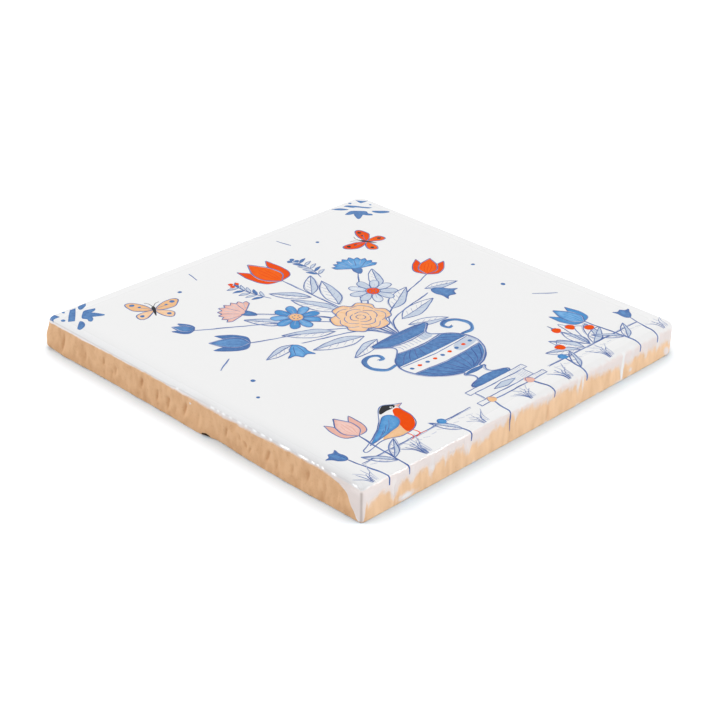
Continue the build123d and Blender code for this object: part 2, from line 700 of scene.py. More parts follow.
    # The beads on the left arris: across a share of its roll, how far in it lies and how far down
    beads: tuple[Bead, ...] = rows(
        Bead,
        (45.5, 0.45, 0.75), (56.7, 0.7, 0.75), (58.5, 0.4, 0.75), (60.2, 0.55, 0.75), (62.3, 0.45, 0.75),
        (65, 0.75, 0.75), (67, 0.4, 0.75), (69.6, 0.65, 0.75), (72.1, 0.8, 0.8), (74.3, 0.5, 0.85),
        (78.5, 1.7), (83.8, 1.6), (86.5, 0.55), (87.9, 0.4), (89.2, 0.4), (92.3, 0.7), (98.1, 0.8),
    )
    bead_profile: Triples = ((0, 0.85, 0.0), (0.6, 0.42, 0.2), (1, 0.0, 0.5))
    bead_line: Points = ((0, 0), (43, 0), (45, 1), (99, 1), (99.9, 0), (399, 0))
    bead_top: Span = (0.0, 0.02)
    bead_foot: Span = (0.25, 0.19)

    # How the glaze thins and dulls on its way over the arrises, the painted shade along them, and a darker
    # line down the near corner
    film_line: Points = (
        (0, 0), (97, 0), (103, 0.55), (200, 0.6), (240, 0.35), (300, 0.3), (380, 0.1), (399, 0),
    )
    ragged_line: Points = (
        (0, 0.1), (93, 0.1), (96, 0.3), (99, 0.2), (102, 1), (200, 1), (300, 0.8), (380, 0.4), (399, 0.1),
    )
    thin_line: Points = (
        (99, 0.6), (102, 0.25), (136, 0.3), (147, 0.9), (156, 1.3), (200, 1.7), (300, 1.7), (398, 0.8),
    )
    wrap_line: Points = ((2, 1), (99.5, 1), (101.5, 0), (300, 0), (398, 1))
    dull_line: Points = ((0, 1), (99, 1), (100.6, 0), (126, 0), (140, 1), (230, 1), (300, 0.4), (399, 1))
    lip_thin: tuple[tuple[float, Span], ...] = ((0.7, (0.14, 0.26)), (0.3, (0.6, 1.0)))
    rim_inside: float = 0.25
    rim_half: float = 0.2
    rim_span: Span = (0.8, 1.4)
    rim_gloss: float = 0.8
    # Painted shade along the arrises, from here to the shade line
    lip_shade: float = 0.3
    lip_down: float = 0.08
    lip_half: float = 0.1
    low_edge_shade: float = 0.26
    low_span: Span = (0.8, 1.5)
    arris_shade_line: Points = (
        (0, 0.05), (46, 0.05), (56, 0.26), (96, 0.26), (99, 0.1), (100.5, 0.03), (108, 0.03), (112, 0.07),
        (200, 0.06), (399, 0.05),
    )
    arris_shade_span: Span = (0.02, 0.1)
    shade_line: Points = (
        (0, 0), (50, 0), (54, 0.14), (58, 0.05), (80, 0.05), (84, 0.12), (91, 0.14), (97, 0.12), (99.5, 0),
    )
    # A darker line down the near corner
    seam_along: float = 100.0
    seam_half: float = 0.36
    seam_dark: float = 0.8
    seam_span: Span = (0.2, 0.8)

    # The chip in the foot of the left wall: its middle, its half length and half height, and its depth
    chip_along: float = 55.0
    chip_up: float = 0.38
    chip_reach: Span = (0.95, 0.3)
    chip_depth: float = 1.1
    chip_fade: Span = (1.3, 0.95)
    chip_wall: float = 0.6
    # How strongly the chip's inside is painted dark as its shadow
    chip_shadow_weight: float = 2.0

    def __post_init__(self) -> None:
        """Works out where each column of points stands round the rim and round its corner."""
        self.random = np.random.default_rng(self.seed)
        self.rim = 2 * (self.width + self.height)
        half = np.array([self.width / 2, self.height / 2])
        self.corners = half * np.array([(-1, 1), (-1, -1), (1, -1), (1, 1)])
        self.ways = np.array([(0, -1), (1, 0), (0, 1), (-1, 0)], float)
        self.outs = np.array([(-1, 0), (0, -1), (1, 0), (0, 1)], float)
        self.turns = np.arange(1, self.columns_per_corner + 1) / (self.columns_per_corner + 1)
        self.along, self.facing = self._columns()
        self.columns = len(self.along)

    def _columns(self) -> tuple[Array, Array]:
        """Each column's place round the rim and the way it faces.

        Returns:
            Places in mm from the top left corner, and unit vectors.
        """
        places, facing = [], []
        start = 0.0
        for edge in range(4):
            length = self.height if edge % 2 == 0 else self.width
            near, far = self.face_corners[edge], self.face_corners[(edge + 1) % 4]
            places.append(np.linspace(start + near, start + length - far, self.columns_per_edge))
            facing.append(np.repeat(self.outs[edge][None], self.columns_per_edge, 0))
            start += length
            places.append(start - far + 2 * far * self.turns)
            facing.append(self._turned(edge))
        return np.concatenate(places) % self.rim, np.concatenate(facing)

    def _turned(self, edge: int) -> Array:
        """The ways that a corner's columns face, turning from one edge to the next."""
        angle = self.turns[:, None] * pi / 2
        return np.cos(angle) * self.outs[edge] + np.sin(angle) * self.outs[(edge + 1) % 4]

    def _outline(self, inset: Points, radii: Sequence[float]) -> Array:
        """One ring of points seen from above.

        Args:
            inset: How far each edge moves in at its start and at its end.
            radii: The corners' radii, from the top left one on.

        Returns:
            One x and y for each column.
        """
        corner = [
            self.corners[k] - self.outs[k - 1] * inset[k - 1][1] - self.outs[k] * inset[k][0]
            for k in range(4)
        ]
        points = []
        for edge in range(4):
            following = (edge + 1) % 4
            start = corner[edge] + self.ways[edge] * radii[edge]
            end = corner[following] - self.ways[edge] * radii[following]
            points.append(np.linspace(start, end, self.columns_per_edge))
            middle = corner[following] - (self.outs[edge] + self.outs[following]) * radii[following]
            points.append(middle + self._turned(edge) * radii[following])
        return np.concatenate(points)

    def _round_rim(self, line: Points) -> Array:
        """A line given by a few places round the rim, read at each column."""
        places, values = zip(*line)
        return np.interp(self.along, places, values, period=self.rim)

    def _waver(self, waves: Sequence[float], size: float) -> Array:
        """Hand-made unevenness round the rim.

        Args:
            waves: Lengths of its waves in mm.
            size: Its usual height in mm.

        Returns:
            One height for each column.
        """
        total = np.zeros(self.columns)
        for wave in waves:
            turn = tau * round(self.rim / wave) * self.along / self.rim
            total += np.sin(turn + self.random.uniform(0, tau))
        return total * size / sqrt(len(waves))

    def _beaded(self) -> Array:
        """How far each column is on a bead of glaze, from 0 to 1."""
        away = [(self.along - bead.along) / bead.half_length for bead in self.beads]
        return np.max([bead.gloss * np.exp(-(gap**4)) for bead, gap in zip(self.beads, away)], axis=0)

    def _glaze_reach(self) -> Array:
        """How far down the glaze runs.

        Returns:
            One depth for each column.
        """
        reach = self._round_rim(self.glaze_line)
        for drip in self.drips:
            away = (self.along - drip.along) / drip.half_width
            run = np.exp(-(away**4)) * drip.reach + (1 - np.exp(-(away**4))) * reach
            reach = np.maximum(reach, run)
        return reach

    def _cover(self, down: Array) -> tuple[Array, Array]:
        """Where the glaze is.

        Args:
            down: Each point's depth below the face.

        Returns:
            How far inside the glaze each point lies, in mm, below 0 on bare clay; and how thickly it
            ran there.
        """
        cover = self._glaze_reach() - down
        thick = np.zeros_like(down)
        for drip in self.drips:
            run = np.exp(-(((self.along - drip.along) / (self.drip_core * drip.half_width)) ** 4))
            below, above = (drip.reach + past for past in self.drip_tip)
            thick = np.maximum(thick, drip.thick * run * eased(below, above, down))
        for dab in self.dabs:
            across = ((self.along - dab.along) / dab.half_length) ** 2
            upright = ((down - dab.down) / dab.half_height) ** 2
            inside = 1 - np.sqrt(across + upright)
            cover = np.maximum(cover, inside * (dab.half_height + self.dab_edge))
            thick = np.maximum(thick, dab.thick * eased(0.0, self.dab_slope, inside))
        return cover, thick

    def _relief(self, down: Array) -> Array:
        """The dents and ripples of the wall.

        Args:
            down: Each point's depth below the face.

        Returns:
            How far each point stands out from the plain wall, in mm.
        """
        relief = np.zeros_like(down)
        for mark in self.tool_marks:
            away = self.along - mark.along + mark.lean * (down - mark.down)
            upright = np.exp(-(((down - mark.down) / mark.half_height) ** 4))
            relief -= mark.sunk * upright * np.exp(-np.abs(away) / mark.half_width)
        for _ in range(self.ripples):
            wave, tall = self.random.uniform(*self.ripple_waves), self.random.uniform(*self.ripple_rises)
            start = self.random.uniform(0, tau, 2)
            turns = round(self.rim / wave)
            ripple = np.sin(tau * turns * self.along / self.rim + start[0])
            size = self.ripple_height * sqrt(wave / self.usual_wave)
            relief += size * ripple * np.sin(tau * down / tall + start[1])
        return relief

    def _shaded(self, relief: Array, down: Array) -> Array:
        """The painted light and shade of each point of a grid: in the dents dark on one flank and light on
        the other, and dark towards the foot.

        Args:
            relief: How far the wall stands out.
            down: How far below the face it is.

        Returns:
            Painted shade from -1, light, to 1, dark.
        """
        slope = np.gradient(relief, axis=1) / np.gradient(np.unwrap(self.along, period=self.rim))
        shade = np.clip(-self.flank_shade * slope, -self.flank_light, 1.0)
        shade = shade + self.dent_shade * np.clip(-relief / self.dent_depth, 0, 1)
        low = self._round_rim(self.foot_shade) * eased(*self.foot_shade_span, down)
        return shade * self._round_rim(self.dent_line) + low

    def _rings(self) -> tuple[Array, Array]:
        """All rings of points of a plain wall, from the glazed face to the back.

        Returns:
            Their x and y and their heights, by ring and column.
        """
        change = self._round_rim(self.roll_change)
        depth = self._round_rim(self.roll_depths) + self._waver(self.roll_waves, self.roll_waver)
        foot = self._round_rim(self.foot_line) + self._waver(self.foot_waves, self.foot_waver)
        beaded = self._round_rim(self.bead_line)
        steps, bead_inset, bead_fall = zip(*self.bead_profile)
        rings, heights = [], []

        def add(
            part: float, extra: float, radii: Sequence[float], z: Array, shift: Array | float = 0.0
        ) -> None:
            """Keeps one ring.

            Args:
                part: How much of their rolls its edges move in by.
                extra: What all edges move in by besides.
                radii: Its corners' radii.
                z: Its height, for all columns or for each.
                shift: What each column moves in by besides.
            """
            inset = [(start * part + extra, end * part + extra) for start, end in self.roll_widths.values()]
            rings.append(self._outline(inset, radii) - self.facing * (change * part + shift)[:, None])
            heights.append(np.broadcast_to(z, self.columns))

        face = np.array(self.face_corners)
        low = np.array(self.foot_corners)
        inner = face * self.inner_corner_share + self.inner_corner_extra
        add(1.0, self.margin, inner, np.array(self.thickness))
        for turn in np.linspace(pi / 2, 0, self.roll_rings):
            part, fall = 1 - cos(turn), 1 - sin(turn)
            share = 1 - turn / (pi / 2)
            shift = beaded * (np.interp(share, steps, bead_inset) - part * self.roll_widths[Edge.LEFT][0])
            fallen = depth * fall + beaded * (np.interp(share, steps, bead_fall) - depth * fall)
            add(part, 0.0, face + (inner - face) * part, self.thickness - fallen, shift)
        top_of_wall = self.thickness - depth
        for fall in np.linspace(0, 1, self.wall_rings + 1)[1:]:
            add(0.0, 0.0, face + (low - face) * fall, top_of_wall + (foot - top_of_wall) * fall)
        for turn in np.linspace(0, pi / 2, self.foot_rings + 1)[1:]:
            add(0.0, float(np.mean(foot)) * (1 - cos(turn)), low, foot * (1 - sin(turn)))
        add(0.0, float(np.mean(foot)) + self.margin, low, np.array(0.0))
        return np.stack(rings), np.stack(heights)

    def _skin(self) -> Skin:
        """The tile's surface with its relief, glaze and chip.

        Returns:
            What is known of each point.
        """
        flat, z = self._rings()
        down = self.thickness - z
        cover, thick = self._cover(down)
        deep = self.thickness
        on_wall = eased(*self.wall_span, down) * eased(deep, deep - self.wall_foot, down)
        relief = self._relief(down)
        painted_shading = self._shaded(relief, down)
        out = relief + self.glaze_height * eased(*self.glaze_slope, cover)
        out = out + self._waver(self.wall_waves, self.wall_waver)
        from_corner = np.minimum(self.along, self.rim - self.along)
        bulge = eased(*self.bulge_span, down) * eased(deep, deep - self.bulge_foot, down)
        out = out + self.corner_bulge * np.exp(-((from_corner / self.bulge_reach) ** 2)) * bulge
        flare = self._round_rim(self.flare_line) * eased(*self.flare_span, down)
        flat = flat + self.facing * (out * on_wall + flare)[..., None]
        points, in_chip = self._chipped(np.concatenate([flat, z[..., None]], axis=2))
        return Skin(points, cover, thick, painted_shading, in_chip)

    def _chipped(self, points: Array) -> tuple[Array, Array]:
        """Presses the chip's pit into the foot of the left wall.

        Args:
            points: The tile's points.

        Returns:
            The points with the pit, and how far each one is in it, from 0 to 1.
        """
        centre = np.array([self.height / 2 - self.chip_along, self.chip_up])
        away = norm((points[..., 1:] - centre) / np.array(self.chip_reach), axis=2)
        on_left = points[..., 0] < self.chip_wall - self.width / 2
        hollowed = points.copy()
        hollowed[..., 0] += self.chip_depth * np.sqrt(np.clip(1 - away**2, 0, 1)) * on_left
        return hollowed, eased(*self.chip_fade, away) * on_left

    def build(self) -> Piece:
        """Models the tile and marks where glaze and clay show.

        Returns:
            The finished object, at the origin.
        """
        skin = self._skin()
        count = len(skin.points)
        bpy.ops.object.select_all(action="DESELECT")
        bpy.ops.mesh.primitive_cylinder_add(vertices=self.columns, radius=1.0, depth=2.0)
        tile = bpy.context.active_object
        tile.name = tile.data.name = "tile_body"
        self._cut_rings(tile, count - 2)
        ring, column = self._where(tile, count)
        tile.data.vertices.foreach_set("co", (skin.points[ring, column] * MM).ravel())
        self._mark(tile, skin, ring, column)
        self._map(tile, ring, column, count)
        tile.data.update()
        bpy.ops.object.shade_smooth()
        return tile

    def _mark(self, tile: Piece, skin: Skin, ring: Array, column: Array) -> None:
        """Keeps at each point of the mesh what the material shows there.

        Args:
            tile: The shaped mesh.
            skin: What is known of its points.
            ring: Each point's ring.
            column: Each point's column.
        """

        def line(places: Points) -> Array:
            """A line round the rim, read at each point."""
            return self._round_rim(places)[column]

        placed, cover = skin.points[ring, column], skin.cover[ring, column]
        down = self.thickness - placed[:, 2]
        inside = cover + self.face_cover * eased(self.face_skin, 0.0, down)
        wrapped = line(self.wrap_line)
        bead = self._beaded()[column] * eased(*self.bead_top, down) * eased(*self.bead_foot, down)
        rim = np.exp(-(((cover - self.rim_inside) / self.rim_half) ** 2))
        rim = rim * eased(*self.rim_span, down) * wrapped
        lip = sum(share * eased(*span, down) for share, span in self.lip_thin)
        thin = lip * wrapped + eased(0.0, 1.0, down / line(self.thin_line)) * (1 - wrapped)
        full = np.maximum.reduce([skin.thick[ring, column], bead, self.rim_gloss * rim])
        # Painted shade: a grey line at the top of the left roll, a grey band low on the left wall's glaze,
        # grey between the beads and along the arrises, and soft grey where the face meets a roll
        shade_and_seam = self.lip_shade * np.exp(-(((down - self.lip_down) / self.lip_half) ** 2)) * wrapped * (ring > 1)
        shade_and_seam = np.maximum(shade_and_seam, line(self.arris_shade_line) * eased(*self.arris_shade_span, down))
        shade_and_seam = np.maximum(shade_and_seam, self.low_edge_shade * eased(*self.low_span, down) * wrapped)
        shade_and_seam = shade_and_seam * (1 - np.maximum(bead, rim))
        shade_and_seam = np.maximum(shade_and_seam, line(self.shade_line) * ((ring == 1) | (ring == 2)))
        # A darker line down the near corner
        seam = np.exp(-(((self.along - self.seam_along) / self.seam_half) ** 2))[column]
        seam = seam * eased(*self.seam_span, down)
        # The film attribute also carries the chip's painted shadow, as values below 0
        for name, values in {
            "glaze": np.where(placed[:, 2] <= self.back_skin, self.back_cover, inside),
            "film_and_chip_shadow": line(self.film_line) - self.chip_shadow_weight * skin.in_chip[ring, column],
            "ragged": line(self.ragged_line),
            "thin": thin * (1 - full),
            "shade_and_seam": np.maximum(shade_and_seam, self.seam_dark * seam),
            "dull": line(self.dull_line) * (ring > 0) * (1 - bead),
            "painted_shading": skin.painted_shading[ring, column],
        }.items():
            kept = tile.data.attributes.new(name, "FLOAT", "POINT")
            kept.data.foreach_set("value", values.astype(np.float32))

    @staticmethod
    def _cut_rings(tile: Piece, cuts: int) -> None:
        """Cuts the wall of a plain cylinder into rings.

        Args:
            tile: The cylinder.
            cuts: How many rings go between its two ends.
        """
        mesh = tile.data
        z = read(mesh.vertices, "co", float, 3)[:, 2][read(mesh.edges, "vertices", int, 2)]
        bpy.ops.object.mode_set(mode="EDIT")
        bpy.ops.mesh.select_mode(type="EDGE")
        bpy.ops.mesh.select_all(action="DESELECT")
        bpy.ops.object.mode_set(mode="OBJECT")
        mesh.edges.foreach_set("select", np.abs(z[:, 0] - z[:, 1]) > 1)
        bpy.ops.object.mode_set(mode="EDIT")
        bpy.ops.mesh.subdivide(number_cuts=cuts)
        bpy.ops.object.mode_set(mode="OBJECT")

    def _where(self, tile: Piece, count: int) -> tuple[Array, Array]:
        """Which ring and column each of the cylinder's points is.

        Args:
            tile: The cut cylinder.
            count: Its rings, ends included.

        Returns:
            Ring numbers from the glazed face down, and column numbers.
        """
        x, y, z = read(tile.data.vertices, "co", float, 3).T
        ring = np.rint((1 - z) / 2 * (count - 1)).astype(int)
        column = np.rint(np.arctan2(y, x) / (tau) * self.columns).astype(int) % self.columns
        return ring, column

    def _map(self, tile: Piece, ring: Array, column: Array, count: int) -> None:
        """Lays the tile out flat: face and back side by side, the four walls in strips above them.

        Args:
            tile: The shaped mesh.
            ring: Each point's ring.
            column: Each point's column.
            count: How many rings there are.
        """
        cap_side, face_middle, back_middle = 0.46, 0.25, 0.75
        strips_from, strip_step, strip_height, strip_length, strip_end = 0.52, 0.12, 0.11, 0.98, 0.01
        mesh = tile.data
        uv = mesh.uv_layers.active or mesh.uv_layers.new(name=BAKE_MAP)
        uv.name = BAKE_MAP
        corners = read(mesh.loops, "vertex_index", int)
        starts, totals = (read(mesh.polygons, name, int) for name in ("loop_start", "loop_total"))
        co = read(mesh.vertices, "co", float, 3) / MM
        face = np.repeat(np.arange(len(starts)), totals)
        cap = totals[face] > 4
        middle = np.where(ring[corners] == 0, face_middle, back_middle)
        across = co[corners, 0] / self.width * cap_side + middle
        up = co[corners, 1] / self.height * cap_side + face_middle
        block = self.columns_per_edge + self.columns_per_corner
        first = np.minimum.reduceat(column[corners], starts)
        last = np.maximum.reduceat(column[corners], starts)
        wraps = (last - first > block)[face] & (column[corners] == 0)
        place = np.where(wraps, self.columns, column[corners])
        strip = np.where(last - first > block, 3, first // block)[face]
        along = (place - strip * block) / block * strip_length + strip_end
        level = strips_from + strip * strip_step + (1 - ring[corners] / (count - 1)) * strip_height
        laid = np.stack([np.where(cap, across, along), np.where(cap, up, level)], axis=1)
        uv.data.foreach_set("uv", laid.astype(np.float32).ravel())


class Ink(Enum):
    """The paints on the tile, each one a piece of its own."""

    WASH = "pale_wash"
    FAINT = "faint_lines"
    COBALT = "cobalt_lines"
    BLUE = "blue_paint"
    ORANGE = "orange_paint"
    SKY = "sky_blue_paint"
    PEACH = "peach_paint"
    PINK = "pink_paint"
    BLACK = "black_paint"
    WHITE = "white_paint"


@dataclass(frozen=True)
class Paint:
    """A paint fired into the glaze: deeper where the brush left more of it."""

    deep: Colour
    pale: Colour
    grain: float = 1.3
    mottle: float = 0.7
    shine: float = 0.1
    fine: Grain = Grain(0.25, 2.0)
    fine_share: float = 0.3

    def make(self, name: str, glaze: Glaze) -> bpy.types.Material:
        """Builds the paint's material.

        Args:
            name: The material's name.
            glaze: The glaze that the paint sank into.

        Returns:
            The material.
        """
        nodes = FinishNodes(name)
        place = nodes.place()
        load = nodes.attribute("load") + nodes.swing(place, Grain(self.grain)) * self.mottle
        load = load + nodes.swing(place, self.fine) * self.fine_share
        nodes.dress(
            Base_Color=nodes.blend(nodes.step(load, 0.0, 1.0), self.pale, self.deep),
            Roughness=glaze.roughness,
            Specular_IOR_Level=self.shine,
            Normal=glaze.ripples(nodes, place),
        )
        return nodes.material


PAINTS = {
    Ink.WASH: Paint(screen(196, 208, 225), screen(231, 236, 243), 2.2, 1.0),
    Ink.FAINT: Paint(screen(150, 162, 198), screen(222, 226, 235)),
    Ink.COBALT: Paint(screen(54, 86, 154), screen(128, 152, 200)),
    Ink.BLUE: Paint(screen(68, 112, 172), screen(104, 158, 212), 1.0, 1.0),
    Ink.ORANGE: Paint(screen(238, 76, 0), screen(250, 108, 16), shine=0.02),
    Ink.SKY: Paint(screen(62, 140, 204), screen(130, 188, 236), 1.6, 0.9),
    Ink.PEACH: Paint(screen(240, 186, 130), screen(252, 216, 182)),
    Ink.PINK: Paint(screen(234, 178, 162), screen(248, 212, 204)),
    Ink.BLACK: Paint(screen(26, 28, 34), screen(58, 62, 70)),
    Ink.WHITE: Paint(screen(241, 241, 241), screen(236, 238, 241)),
}


def mirrored(points: Points) -> list[tuple[float, float]]:
    """The same points on the other side of the upright axis."""
    return [(-x, y) for x, y in points]


def flowing(points: Array, looped: bool, step: float) -> Array:
    """A smooth path through a few points.

    Args:
        points: Where it goes, a sharp corner's point twice.
        looped: Whether it closes.
        step: Distance between the path's points.

    Returns:
        The path's points, evenly spaced.
    """
    same_spot, drawn_step = 1e-6, 0.08
    if looped:
        ring = np.vstack([points[-1:], points, points[:2]])
    else:
        ring = np.vstack([2 * points[0] - points[1], points, 2 * points[-1] - points[-2]])
    parts = []
    for before, start, end, after in zip(ring, ring[1:], ring[2:], ring[3:]):
        length = norm(end - start)
        if length < same_spot:
            continue
        t = np.linspace(0, 1, max(3, ceil(length / drawn_step)), endpoint=False)[:, None]
        leave, arrive = (end - before) / 2, (after - start) / 2
        curve = start * (2 * t**3 - 3 * t**2 + 1) + leave * (t**3 - 2 * t**2 + t)
        parts.append(curve + end * (3 * t**2 - 2 * t**3) + arrive * (t**3 - t**2))
    path = np.vstack([*parts, ring[1:2] if looped else ring[-2:-1]])
    run = np.concatenate([[0], np.cumsum(norm(np.diff(path, axis=0), axis=1))])
    even = np.linspace(0, run[-1], max(2, ceil(run[-1] / step)) + 1)
    return np.stack([np.interp(even, run, path[:, axis]) for axis in (0, 1)], axis=1)


def sideways(path: Array) -> Array:
    """The way to the left at each point of a path, as vectors one unit long."""
    ahead = np.gradient(path, axis=0)
    return np.stack([-ahead[:, 1], ahead[:, 0]], axis=1) / np.maximum(norm(ahead, axis=1), TINY)[:, None]


@dataclass
class Painting:
    """Everything painted on the tile, gathered by ink, in mm; later marks lie over earlier ones."""

    tile: Piece
    half_height: float
    face: float
    seed: int = 11
    lowest: float = 0.01
    layer: float = 0.0009
    buried: float = 0.03
    halo: float = 0.3
    drop: float = 30.0
    edge_in: float = 0.03
    side_load: float = 0.3
    inner_gap: float = 0.3
    same_spot: float = 1e-5
    pool_width: float = 0.35
    map_span: float = 2.2

    def __post_init__(self) -> None:
        """Gets the tile's surface ready to be painted on."""
        self.surface = BVHTree.FromObject(self.tile, bpy.context.evaluated_depsgraph_get())
        self.random = np.random.default_rng(self.seed)
        self.marks: dict[Ink, list[tuple[Array, list[tuple[int, ...]], Array]]] = {}
        self.covered: list[tuple[float, ...]] = []

    def _lift(self, flat: Array) -> float:
        """How high a mark stands to lie over those that it crosses.

        Args:
            flat: Its points' x and y.

        Returns:
            Its height above the glaze.
        """
        low, high = flat.min(axis=0) - self.halo, flat.max(axis=0) + self.halo
        under = 0.0
        if self.covered:
            boxes = np.array(self.covered)
            crossed = (boxes[:, :2] < high).all(axis=1) & (boxes[:, 2:4] > low).all(axis=1)
            under = boxes[crossed, 4].max(initial=0.0)
        self.covered.append((*low, *high, under + 1))
        return self.lowest + self.layer * under

    def _laid(self, flat: Array) -> tuple[Array, Array]:
        """Points drawn flat, laid on the glaze and down over the bottom edge.

        Args:
            flat: One x and y for each point.

        Returns:
            The points just above the glaze and just under it.
        """
        lift = self._lift(flat)
        above, below = np.empty((len(flat), 3)), np.empty((len(flat), 3))
        for k, (x, y) in enumerate(flat):
            past = max(0.0, -self.half_height - y)
            start = Vector((x, max(y, self.edge_in - self.half_height), self.drop)) * MM
            spot, normal, _, _ = self.surface.ray_cast(start, Vector((0, 0, -1)))
            if spot is None:
                beside = Vector((start.x, start.y, self.face * MM))
                spot, normal, _, _ = self.surface.find_nearest(beside)
            elif past:
                start = Vector((spot.x, -2 * self.half_height * MM, spot.z - past * MM))
                spot, normal, _, _ = self.surface.ray_cast(start, Vector((0, 1, 0)))
            above[k] = spot / MM + normal * lift
            below[k] = spot / MM - normal * self.buried
        return above, below

    def ribbon(self, ink: Ink, path: Array, width: Array, load: Array) -> None:
        """Keeps one stroke of a brush.

        Args:
            ink: Its paint.
            path: Its middle line.
            width: Its width at each point of the line.
            load: How much paint it left at each point.
        """
        side = sideways(path) * width[:, None] / 2
        above, below = self._laid(np.concatenate([path - side, path, path + side]))
        count = len(path)
        right, middle, left, under_right, under_left = (k * count for k in range(5))
        strips = [(right, middle), (middle, left)]
        strips += [(under_right, right), (left, under_left), (under_left, under_right)]
        faces = [(a + k, a + k + 1, b + k + 1, b + k) for a, b in strips for k in range(count - 1)]
        start = (right, middle, left, under_left, under_right)
        faces += [start, tuple(corner + count - 1 for corner in reversed(start))]
        points = np.concatenate([above, below[:count], below[2 * count :]])
        thinner = load - self.side_load
        loads = np.concatenate([thinner, load, thinner, thinner, thinner])
        self.marks.setdefault(ink, []).append((points, faces, loads))

    def patch(self, ink: Ink, outline: Array, load: float, pooled: float, grid: float) -> None:
        """Keeps one filled shape.

        Args:
            ink: Its paint.
            outline: The points round it, the last one not repeating the first.
            load: How much paint lies in its middle.
            pooled: How much more gathered at its rim.
            grid: Distance between the points inside it.
        """
        following = np.roll(outline, -1, axis=0)
        turn = outline[:, 0] * following[:, 1] - following[:, 0] * outline[:, 1]
        if turn.sum() < 0:
            outline = outline[::-1]
            following = np.roll(outline, -1, axis=0)
        low, high = outline.min(axis=0), outline.max(axis=0)
        across, up = (np.arange(low[k] + grid / 2, high[k], grid) for k in (0, 1))
        inner = np.stack(np.meshgrid(across, up), axis=2).reshape(-1, 2)
        x, y = inner[:, :1], inner[:, 1:]
        crossed = (outline[:, 1] > y) != (following[:, 1] > y)
        rise = np.where(following[:, 1] == outline[:, 1], TINY, following[:, 1] - outline[:, 1])
        meets = outline[:, 0] + (y - outline[:, 1]) / rise * (following[:, 0] - outline[:, 0])
        inside = (crossed & (x < meets)).sum(axis=1) % 2 == 1
        away = norm(inner[:, None] - outline[None], axis=2).min(axis=1)
        inner = inner[inside & (away > self.inner_gap * grid)]
        spots = [Vector(spot) for spot in np.concatenate([outline, inner])]
        found, _, faces, *_ = delaunay_2d_cdt(spots, [], [list(range(len(outline)))], 1, self.same_spot)
        flat = np.array([tuple(spot) for spot in found])
        above, below = self._laid(flat)
        count = len(flat)
        edges = {(face[k - 1], face[k]) for face in faces for k in range(len(face))}
        walls = [(a + count, b + count, b, a) for a, b in sorted(edges) if (b, a) not in edges]
        under = [tuple(corner + count for corner in reversed(face)) for face in faces]
        away = norm(flat[:, None] - outline[None], axis=2).min(axis=1)
        loads = load + pooled * np.exp(-((away / self.pool_width) ** 2))
        mark = (np.concatenate([above, below]), [*map(tuple, faces), *under, *walls], np.tile(loads, 2))
        self.marks.setdefault(ink, []).append(mark)

    def build(self, glaze: Glaze) -> list[Piece]:
        """Joins each ink's marks to one mesh.

        Args:
            glaze: The glaze that the paints sank into.

        Returns:
            One object for each ink that was used.
        """
        made = []
        for ink, marks in self.marks.items():
            spots, parts, loads = zip(*marks)
            faces = []
            for start, part in zip(np.cumsum([0, *map(len, spots)]), parts):
                faces += [tuple(corner + int(start) for corner in face) for face in part]
            points = np.concatenate(spots)
            mesh = bpy.data.meshes.new(ink.value)
            mesh.from_pydata((points * MM).tolist(), [], faces)
            kept = mesh.attributes.new("load", "FLOAT", "POINT")
            kept.data.foreach_set("value", np.concatenate(loads).astype(np.float32))
            corners = read(mesh.loops, "vertex_index", int)
            flat = points[corners, :2] / (self.map_span * self.half_height) + 0.5
            mesh.uv_layers.new(name=BAKE_MAP).data.foreach_set("uv", flat.astype(np.float32).ravel())
            mesh.materials.append(PAINTS[ink].make(ink.value, glaze))
            piece = bpy.data.objects.new(ink.value, mesh)
            bpy.context.collection.objects.link(piece)
            made.append(piece)
        return made


